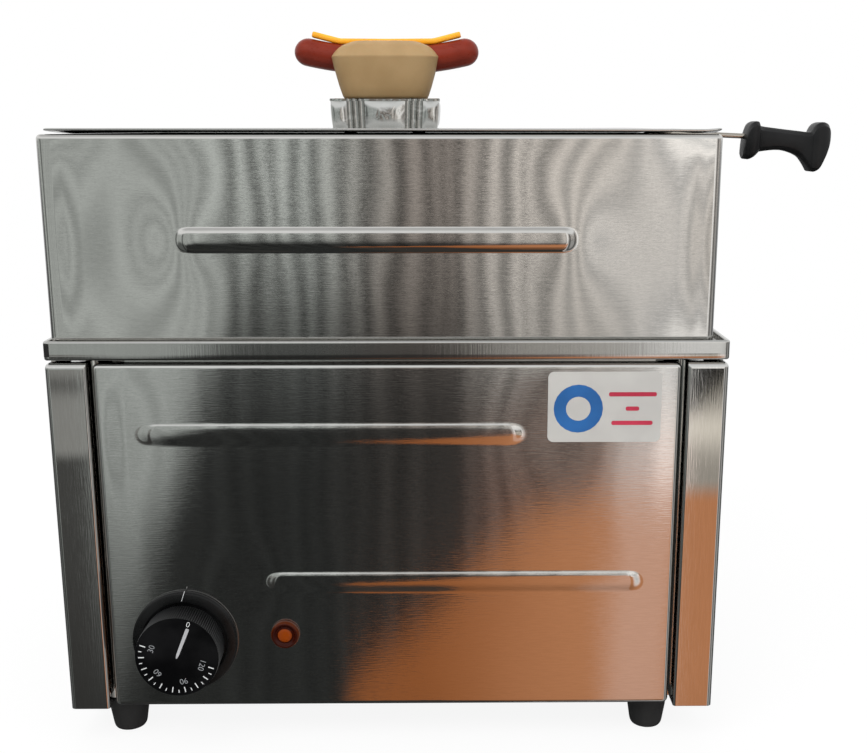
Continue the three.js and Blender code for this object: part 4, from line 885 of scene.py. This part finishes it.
def add_mustard():
    """A flat strip with soft edges, level over the bun, whose ends bend up with the sausage."""
    half, bend, rise, thick = 42.6, 27, 4.2, 3.5
    corners = [(-half, 0, rise), (-bend, 0, 0.25), (0, 0, 0), (bend, 0, 0.25), (half, 0, rise)]
    path = rounded_path(corners, 14)
    first = [path[0] * (1 - t) + path[1] * t for t in (0, 0.04, 0.1, 0.5)]
    last = [path[-1] * (1 - t) + path[-2] * t for t in (0.5, 0.1, 0.04, 0)]
    path = first + path[1:-1] + last
    top = (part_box("mustard")[1][2] - ORIGIN[2]) / MM
    level = top - thick / 2 - rise - 0.1
    rings = []
    for i, point in enumerate(path):
        before, after = path[max(i - 1, 0)], path[min(i + 1, len(path) - 1)]
        along = (after - before) / np.linalg.norm(after - before)
        size = 0.8 if i in (0, len(path) - 1) else 1
        outline = superellipse(3 * size, thick / 2 * size, 3.4, 24)
        rings.append([(FIGURE_X + point[0] - along[2] * z, MIDDLE_Y + y, level + point[2] + along[0] * z)
                      for y, z in outline])
    add_piece("mustard_strip", skin(rings, capped=True), "lid", MUSTARD, "mustard", "mustard", sharp=50)


# Basket

def basket_wire(corners):
    """A bent wire of the basket, from corners about its middle."""
    return swept(rounded_path([(BASKET_X + x, MIDDLE_Y + y, z) for x, y, z in corners], 7), WIRE_RADIUS)


def basket_loop(half_x, half_y, level):
    plan = rounded_plan(half_x, half_y, 16, coarse=30, turn=6)
    return swept(ring(plan, 0, level, (BASKET_X, MIDDLE_Y)), WIRE_RADIUS, looped=True)


def add_basket():
    """Two loops, wires bent up both ways through the basket, and the rod out to the grip."""
    half_x, half_y = BASKET_HALF_X - WIRE_RADIUS, BASKET_HALF_Y - WIRE_RADIUS
    top, low = BASKET_BOTTOM + BASKET_HEIGHT - WIRE_RADIUS, BASKET_BOTTOM + WIRE_RADIUS
    parts = [
        basket_loop(half_x, half_y, top),
        basket_loop(half_x + WIRE_STACK, half_y + WIRE_STACK, BASKET_BOTTOM + BASKET_HEIGHT * 0.52),
    ]
    for x in (np.arange(6) - 2.5) * 45:
        corners = [(x, -half_y, top), (x, -half_y, low), (x, half_y, low), (x, half_y, top)]
        parts.append(basket_wire(corners))
    low += WIRE_STACK
    for y in (np.arange(4) - 1.5) * 50:
        corners = [(-half_x, y, top), (-half_x, y, low), (half_x, y, low), (half_x, y, top)]
        parts.append(basket_wire(corners))
    x = BASKET_X + half_x + WIRE_STACK
    rod = [(x, MIDDLE_Y, BASKET_BOTTOM + 19), (x, MIDDLE_Y, ROD_LEVEL), (x + 26, MIDDLE_Y, ROD_LEVEL),
           (x + 87.5, MIDDLE_Y, ROD_LEVEL - 2.8)]
    parts.append(swept(rounded_path(rod, 7, steps=8), WIRE_RADIUS, sides=16))
    add_piece("basket_wires", merged(*parts), "basket", WIRE, "wire", "basket")


def smooth_rows(rows, steps):
    """Rows of values with evenly spaced rows between them, on a smooth curve through them all."""
    rows = np.array(rows, float)
    made = []
    for i in range(len(rows) - 1):
        before, start, end, after = (rows[min(max(i + k, 0), len(rows) - 1)] for k in (-1, 0, 1, 2))
        squared, cubed = 2 * before - 5 * start + 4 * end - after, 3 * start - before - 3 * end + after
        for t in np.arange(steps) / steps:
            made.append(0.5 * (2 * start + (end - before) * t + squared * t ** 2 + cubed * t ** 3))
    return [*made, rows[-1]]


def add_grip():
    """The moulded grip: a flange at each end and a waist between, with chamfered edges.

    The rows are the place along the grip, its top, its bottom and half its width.
    """
    rows = [(0, -6.2, -12.2, 4.5), (0.02, 0.5, -13, 7), (0.06, 6.4, -13.3, 8.6), (0.115, 8.4, -11.9, 9),
            (0.16, 8.3, -9.8, 8.4), (0.178, 7.3, -9.2, 7.2), (0.195, 5.8, -8.9, 6.3), (0.36, 4.6, -8, 5.9),
            (0.5, 3.7, -8.6, 6), (0.64, 2.9, -11.4, 6.4), (0.715, 2.4, -15.4, 7), (0.765, 2.4, -19, 7.8),
            (0.78, 3.6, -20.1, 8.3), (0.8, 5.4, -20.5, 8.6), (0.835, 7.2, -20.4, 9), (0.89, 8, -18.3, 9),
            (0.945, 7.4, -12.8, 8), (0.985, 5.6, -7.2, 6.2), (1, 1.6, -2.6, 4.4)]
    rings = []
    for along, top, bottom, side in smooth_rows(rows, 3):
        high, low = GRIP_LEVEL + top, GRIP_LEVEL + bottom
        bevel = min(2.6, 0.45 * side, 0.35 * (high - low))
        corner = []
        for sx, sz in ((1, 1), (-1, 1), (-1, -1), (1, -1)):
            edge_x, edge_z = sx * side, high if sz > 0 else low
            first = (edge_x, edge_z - sz * bevel)
            second = (edge_x - sx * bevel * 1.2, edge_z)
            corner.extend((first, second) if sx * sz > 0 else (second, first))
        turn = []
        for k, (y, z) in enumerate(corner):
            after = corner[(k + 1) % 8]
            for t in (0.08, 0.5, 0.92):
                turn.append((GRIP_START + along * GRIP_LENGTH, MIDDLE_Y + y + (after[0] - y) * t,
                             z + (after[1] - z) * t))
        rings.append(turn)
    add_piece("grip", skin(rings, capped=True), "basket", GRIP_BLACK, "black_plastic", "basket_grip",
              sharp=24)


# Controls

def dial_point(radius, turn, depth=0):
    """A point on the knob's face. Turn is in degrees clockwise from the pointer's off place at the top."""
    angle = math.radians(90 - turn)
    return DIAL_X + radius * math.cos(angle), -depth, DIAL_Z + radius * math.sin(angle)


def add_bezel():
    profile = [(5.3, -1.2), (27.4, -1.2), (27.4, 0.2), (27.2, 0.7), (26.8, 1.05), (26.2, 1.2), (22.6, 1.8),
               (22.2, 1.75), (21.9, 1.5), (21.8, 0.1), (21.7, -0.1), (5.3, -0.1)]
    add_piece("bezel", revolve(profile, 120, (KNOB_X, 0, KNOB_Z), looped=True), "cabinet", BEZEL_BLACK,
              "black_plastic", "knob_bezel", sharp=30)


def add_index():
    """A slanting line across the bezel at the top."""
    ends = [(-0.4, 23, -0.16), (-0.4, 23, 0.16), (1.3, 28.2, 0.16), (1.3, 28.2, -0.16)]
    corners = [(KNOB_X + x + side, KNOB_Z + z) for x, z, side in ends]
    add_mark("bezel_index", corners, -1.2, -1.92, "cabinet")


def add_knob():
    """A hollow cap with fine ribs on its side, and a flat black face."""
    def ribs(angle, radius, distance):
        if radius < 20.9 or distance < 0.5 or distance > 16.2:
            return 0
        return -0.7 * abs(math.sin(KNOB_RIBS * angle))

    profile = [(19.1, 4.5), (19.1, 0.4), (20.6, 0.2), (20.95, 0.5), (21.1, 0.8), (21.25, 8), (21.4, 15.6),
               (21.35, 16.1), (21.15, 16.5), (20.85, 16.8), (20.5, 17), (12, 17), (4, 17), (0.5, 17)]
    cap = revolve(profile, 12 * KNOB_RIBS, (DIAL_X, 0, DIAL_Z), wave=ribs)
    add_piece("knob_cap", cap, "dial", KNOB_BLACK, "black_plastic", "knob", sharp=38)
    rim = [(x, z) for x, _, z in (dial_point(21.15, turn) for turn in range(0, 360, 3))]
    add_mark("dial_face", rim, -16.45, -17.03, "dial", DIAL_BLACK)


def add_pointer():
    """The bar from the dial's middle towards its zero, narrower at its inner end."""
    angle = math.pi / 2 - KNOB_TURN
    along = np.array([math.cos(angle), math.sin(angle)])
    across = np.array([-along[1], along[0]])
    centre = np.array([DIAL_X, DIAL_Z])
    widths = [(-0.7, 0.15), (0.2, 0.5), (1.6, 0.72), (15.9, 0.92), (16.6, 0.8), (16.8, 0.5)]
    left, right = ([centre + along * r + side * w * across for r, w in widths] for side in (1, -1))
    add_mark("pointer", [*left, *right[::-1]], -16.6, -17.3, "dial", PALE_PLASTIC, "pale_plastic",
             "knob_pointer")


def add_ticks():
    """Nineteen marks round the dial, long and short in turn."""
    parts = []
    for step in range(19):
        turn = 290 - step * (290 - 109) / 18
        inner, side = (16.6, 0.26) if step % 2 == 0 else (18, 0.22)
        away = math.radians(90 - turn)
        corners = []
        for radius, sign in ((inner, -1), (inner, 1), (19.6, 1), (19.6, -1)):
            x, _, z = dial_point(radius, turn)
            corners.append((x - sign * side * math.sin(away), z + sign * side * math.cos(away)))
        rings = [[(x, y, z) for x, z in corners] for y in (-17.0, -17.1)]
        parts.append(skin(rings, capped=True))
    add_piece("dial_ticks", merged(*parts), "dial", PRINT)


def add_numbers():
    for text, turn, radius, size in (("0", 20.3, 18.9, 4.1), ("30", 290, 13.4, 4.3), ("60", 230, 13.2, 4.3),
                                     ("90", 167.6, 13.4, 4.3), ("120", 109, 13.2, 4.3)):
        letters = bpy.data.curves.new(f"dial_{text}", "FONT")
        letters.body = text
        letters.size = size * MM
        letters.align_x = "CENTER"
        letters.align_y = "CENTER"
        letters.extrude = 0.05 * MM
        letters.offset = -0.05 * MM
        piece = bpy.data.objects.new(f"dial_{text}", letters)
        location = place([dial_point(radius, turn, 17.05)])[0]
        upright = Matrix.Rotation(math.pi / 2, 4, "X")
        turned = Matrix.Rotation(math.radians(turn), 4, "Y")
        piece.matrix_world = Matrix.Translation(location) @ turned @ upright
        bpy.context.collection.objects.link(piece)
        dress(piece, "dial", PRINT if text == "0" else GREY_PRINT)


def add_lamp():
    profile = [(5.5, -4.5), (5.5, -0.2), (7.3, -0.2), (7.45, 0.1), (7.45, 1.2), (7.2, 2.2), (6.7, 2.9),
               (6.2, 3.1), (5.7, 2.9), (5.2, 2.2), (4.6, 1.6), (4.1, 1.7), (3.9, 2.1), (3.5, 2.5),
               (2.2, 2.75), (0.4, 2.85)]
    add_piece("lamp_lens", revolve(profile, 72, (LAMP_X, 1.2, LAMP_Z)), "cabinet", LENS, "amber_lens",
              "pilot_lamp_lens", sharp=60)


def add_feet():
    profile = [(5.2, 9), (5.2, 0.3), (5.6, 0), (7.4, 0), (8.1, 0.3), (8.6, 1.2), (8.9, 2.4), (10, 9.6),
               (10.6, 14), (10.9, 18.6), (10.7, 19.3), (10.2, 19.6), (2.4, 19.6)]
    for name in ("front_left", "front_right", "back_left", "back_right"):
        x, y, _ = (np.mean(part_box(f"foot_{name}"), axis=0) - ORIGIN) / MM
        add_piece(f"foot_cone_{name}", revolve(profile, 48, (x, y, 0), upright=True), "cabinet", RUBBER,
                  "rubber", f"foot_{name}")


def add_patch(name, x_range, z_range, radius, depth, material):
    """A flat patch of the sticker with rounded corners."""
    (left, right), (low, high) = x_range, z_range
    outline = []
    for cx, cz, first in ((right - radius, high - radius, 0), (left + radius, high - radius, 90),
                          (left + radius, low + radius, 180), (right - radius, low + radius, 270)):
        outline += [(cx + x, cz + z) for x, z in arc(radius, first, first + 90, 6)]
    face = PANEL_FACE - 0.02
    add_mark(name, outline[::-1], face, face - depth, "cabinet", material)


def add_sticker():
    """A silver label with a plain blue ring and three red bars."""
    add_patch("sticker", (80, 137), (165.7, 202), 3, 0.12, STICKER_SILVER)
    add_patch("sticker_disc", (82.9, 107.7), (170.6, 195.4), 12.4, 0.16, STICKER_BLUE)
    add_patch("sticker_centre", (89.1, 101.5), (176.8, 189.2), 6.2, 0.2, STICKER_SILVER)
    for row, half in enumerate((12, 3.4, 10.4)):
        middle = 190.4 - row * 7.4
        add_patch(f"sticker_bar_{row + 1}", (122.5 - half, 122.5 + half), (middle - 1.1, middle + 1.1), 0.9,
                  0.16, STICKER_RED)


def dress_cad():
    """Materials for the CAD nodes that stay."""
    kept = {
        INNER_STEEL: ["back_panel", "bottom_plate", "water_pan", "steam_plate", "bulb_clip"],
        ZINC: ["heating_element", "thermostat_nut", "thermostat_shaft",
               *[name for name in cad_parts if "screw" in name or name.startswith("foot_nut")]],
        BRASS: ["element_bushing_left", "element_bushing_right", "element_nut_left", "element_nut_right"],
        COPPER: ["thermostat_bulb", "thermostat_capillary"],
        PALE_PLASTIC: ["thermostat_body", "pilot_lamp_clip", "terminal_block"],
        PLAIN_BLACK: ["pilot_lamp_body", "cable_gland", "gland_nut"],
        BROWN_LEAD: ["lead_live"],
        BLUE_LEAD: ["lead_neutral"],
    }
    for material, names in kept.items():
        for name in names:
            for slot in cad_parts[name].material_slots:
                slot.material = material


# Studio

def add_floor():
    """A pale floor that turns white away from the object."""
    material, tree = new_material("studio_floor")
    shade(material, (0.8, 0.8, 0.8), 0.9, Specular_IOR_Level=0)
    shader = Field(tree.nodes["Principled BSDF"].outputs[0])
    light = new_field(tree, "Emission", {"Color": (1, 1, 1)})
    seen = new_field(tree, "LightPath", output="Is Camera Ray")
    x, y, _ = components(coordinates(tree))
    share = seen * (x * x + y * y).math("SQRT").step(0.5, 1.5, 0.9, 1.0)
    feed(blended(share, shader, light), tree.nodes["Material Output"].inputs["Surface"])
    reach = 6000
    corners = [(-reach, -reach, 0), (reach, -reach, 0), (reach, reach, 0), (-reach, reach, 0)]
    floor = add_mesh("floor", corners, [(0, 1, 2, 3)])
    floor.data.materials.append(material)
    floor.visible_glossy = False


def hump(value, middle, spread):
    """A bell round a middle value."""
    offset = (value - middle) / spread
    return (offset * offset * -1).math("EXPONENT")


def room_folds(u):
    """Narrow vertical folds, from 0 to 1."""
    waver = new_field(u.tree, "TexNoise", {"Scale": 16, "Detail": 1, "W": u}, noise_dimensions="1D")
    phase = u * 296 + waver * 11
    return (phase.math("SINE") * 0.5 + 0.5).math("POWER", 1.5)


def room(u, v, folds):
    """A window on the left, a dark middle and a pale wall on the right."""
    edge = (v + 0.17).math("MINIMUM", 0) * 0.3 - 0.215
    window = (u - edge).step(0.03, -0.02) * v.step(-0.56, -0.2, 0.12, 0.5) * (folds * 0.55 + 0.74)
    cool = v.step(-0.19, -0.05, 0.0, 0.33) + v.step(-0.3, -0.16, 0.02, 0.11)
    warm = v.step(-0.27, -0.03, 0.035, 0.27)
    middle = mix(u.step(-0.13, -0.02), scaled((0.95, 1.0, 0.96), cool), scaled((1.0, 0.88, 0.8), warm))
    middle = scaled(middle, (folds * 1.6 + 0.34) * (u - edge).step(-0.02, 0.03))
    wall = u.step(0.1, 0.13, 0.36, 0.46) + u.step(0.145, 0.175, 0.0, 0.08) + u.step(0.185, 0.21, 0.0, 0.36)
    wall = wall * u.step(0.002, 0.065) * u.step(0.3, 0.5, 1.0, 0.3)
    wall = wall * (folds * u.step(0.08, 0.13, 1.2, 0.3) + u.step(0.08, 0.13, 0.5, 0.88))
    bright_end = u.step(0.11, 0.17)
    wall = wall * mix(bright_end, v.step(-0.27, -0.2, 0.42, 1.0), v.step(-0.28, -0.23, 1.4, 1.0))
    brown = mix(bright_end, (1.0, 0.58, 0.45), (1.0, 0.81, 0.74))
    tint = mix(v.step(-0.33, -0.2), brown, mix(u.step(0.14, 0.2), (1.0, 0.965, 0.91), (1.0, 0.995, 0.98)))
    tint = mix(u.step(0.3, 0.45), tint, (1.0, 0.99, 0.97))
    return added(added(scaled((0.95, 1.0, 0.96), window + 0.012), middle), scaled(tint, wall))


def with_ends(front, u, v):
    """Adds the darker fields that the two strips show, far left and far right in the lower room."""
    left = v.step(-0.303, -0.289, 0.0, 0.25) + v.step(-0.6, -0.3, 0.045, 0.075)
    left = left * (hump(v, -0.229, 0.01) * -0.5 + 1)
    right = hump(v, -0.271, 0.022) * 0.5 + 0.42
    right = right * (v - u).step(-0.49, -0.48, 1.0, 0.03)
    lower = v.step(-0.212, -0.205) * -1 + 1
    at_left = u.step(-0.322, -0.33) * u.step(-0.42, -0.39) * lower
    at_right = u.step(0.22, 0.226) * u.step(0.3, 0.28) * lower
    front = mix(at_left, front, scaled((1.0, 0.99, 0.94), left))
    return mix(at_right, front, scaled((1.0, 0.92, 0.8), right))


def with_wood(front, u, v):
    """Adds a wooden surface low on the right."""
    edge = (u - 0.438).math("SMOOTH_MIN", -0.332, 0.05)
    tone = mix(u.step(-0.04, 0.14), (0.42, 0.14, 0.045), (0.66, 0.28, 0.13))
    tone = mix(u.step(0.14, 0.17) * u.step(0.222, 0.216), tone, (0.82, 0.46, 0.32))
    tone = scaled(tone, v.step(-0.9, -0.5, 0.35, 1.0))
    tone = mix((v + u.step(-0.02, 0.12) * 0.7).step(-0.65, -0.56), (0.05, 0.045, 0.04), tone)
    share = (edge - v).step(-0.012, 0.012) * u.step(-0.11, -0.08) * u.step(0.4, 0.3)
    return mix(share, front, tone)


def make_world():
    """White behind the object and soft light on it. Only metal shows the room in front."""
    world = bpy.data.worlds.new("studio")
    bpy.context.scene.world = world
    world.use_nodes = True
    tree = world.node_tree
    tree.nodes.clear()
    x, y, z = components(coordinates(tree, output="Generated"))
    ahead = y.math("ABSOLUTE").math("MAXIMUM", 0.02)
    u, v = x / ahead, z / ahead
    folds = room_folds(u)
    front = with_wood(with_ends(room(u, v, folds), u, v), u, v)
    front = scaled(front, hump(u.math("ABSOLUTE"), 0.85, 0.22) * -0.8 + 1)
    sides = scaled((0.97, 0.98, 1.0), (u * u * -9).math("EXPONENT") * -0.26 + 0.52 + folds * 0.05)
    sides = mix(v.step(-0.12, 0.02), scaled(sides, v.step(-0.9, -0.1, 0.12, 0.8)), (0.85, 0.85, 0.85))
    around = mix(y.step(0.05, -0.2), sides, front)
    above = scaled((1.0, 1.0, 1.0), z.step(0.5, 1.0, 1.0, 0.62))
    soft = scaled((1.0, 1.0, 1.0), z.step(-0.2, 0.9, 0.3, 0.95))

    def background(color):
        return new_field(tree, "Background", {"Color": color, "Strength": 1})

    glossy = background(mix(z.step(0.03, 0.3), around, above))
    shown = blended(new_field(tree, "LightPath", output="Is Glossy Ray"), background(soft), glossy)
    shown = blended(new_field(tree, "LightPath", output="Is Camera Ray"), shown, background((1, 1, 1)))
    feed(shown, add_node(tree, "OutputWorld").inputs["Surface"])


def add_lamps():
    for name, position, size, power, target in (
        ("key", (-500, -900, 1500), 1100, 17, (0, 100, 150)),
        ("fill", (900, -900, 1100), 900, 6, (0, 100, 150)),
        ("back", (0, 1300, 1300), 900, 9, (0, 100, 200)),
    ):
        data = bpy.data.lights.new(name, "AREA")
        data.size = size * MM
        data.energy = power
        lamp = bpy.data.objects.new(name, data)
        bpy.context.collection.objects.link(lamp)
        start, end = place([position, target])
        lamp.location = start
        lamp.rotation_euler = Vector(end - start).to_track_quat("-Z", "Y").to_euler()
        lamp.visible_glossy = False


def add_camera():
    """The photograph's view: a focal length of 1120 pixels over 867, a little to the right and above."""
    focal, width, centre = 1120, 867, 455.16
    data = bpy.data.cameras.new("camera")
    data.sensor_width = 36
    data.lens = 36 * focal / width
    data.shift_x = (width / 2 - centre) / width
    data.clip_end = 50
    camera = bpy.data.objects.new("camera", data)
    camera.location = place([(28.06, -543.3, 320.2)])[0]
    camera.rotation_euler = (math.radians(90 - 12.474), 0, math.radians(-0.571))
    bpy.context.collection.objects.link(camera)
    bpy.context.scene.camera = camera


add_camera()
make_world()
add_lamps()
add_floor()
add_side_panel("left", -1)
add_side_panel("right", 1)
add_front_panel()
add_collar()
add_chamber()
add_lid()
add_pedestal()
add_bun()
add_sausage()
add_mustard()
add_basket()
add_grip()
add_bezel()
add_index()
add_knob()
add_pointer()
add_ticks()
add_numbers()
add_lamp()
add_feet()
add_sticker()
dress_cad()

bpy.context.scene.view_settings.view_transform = "Standard"
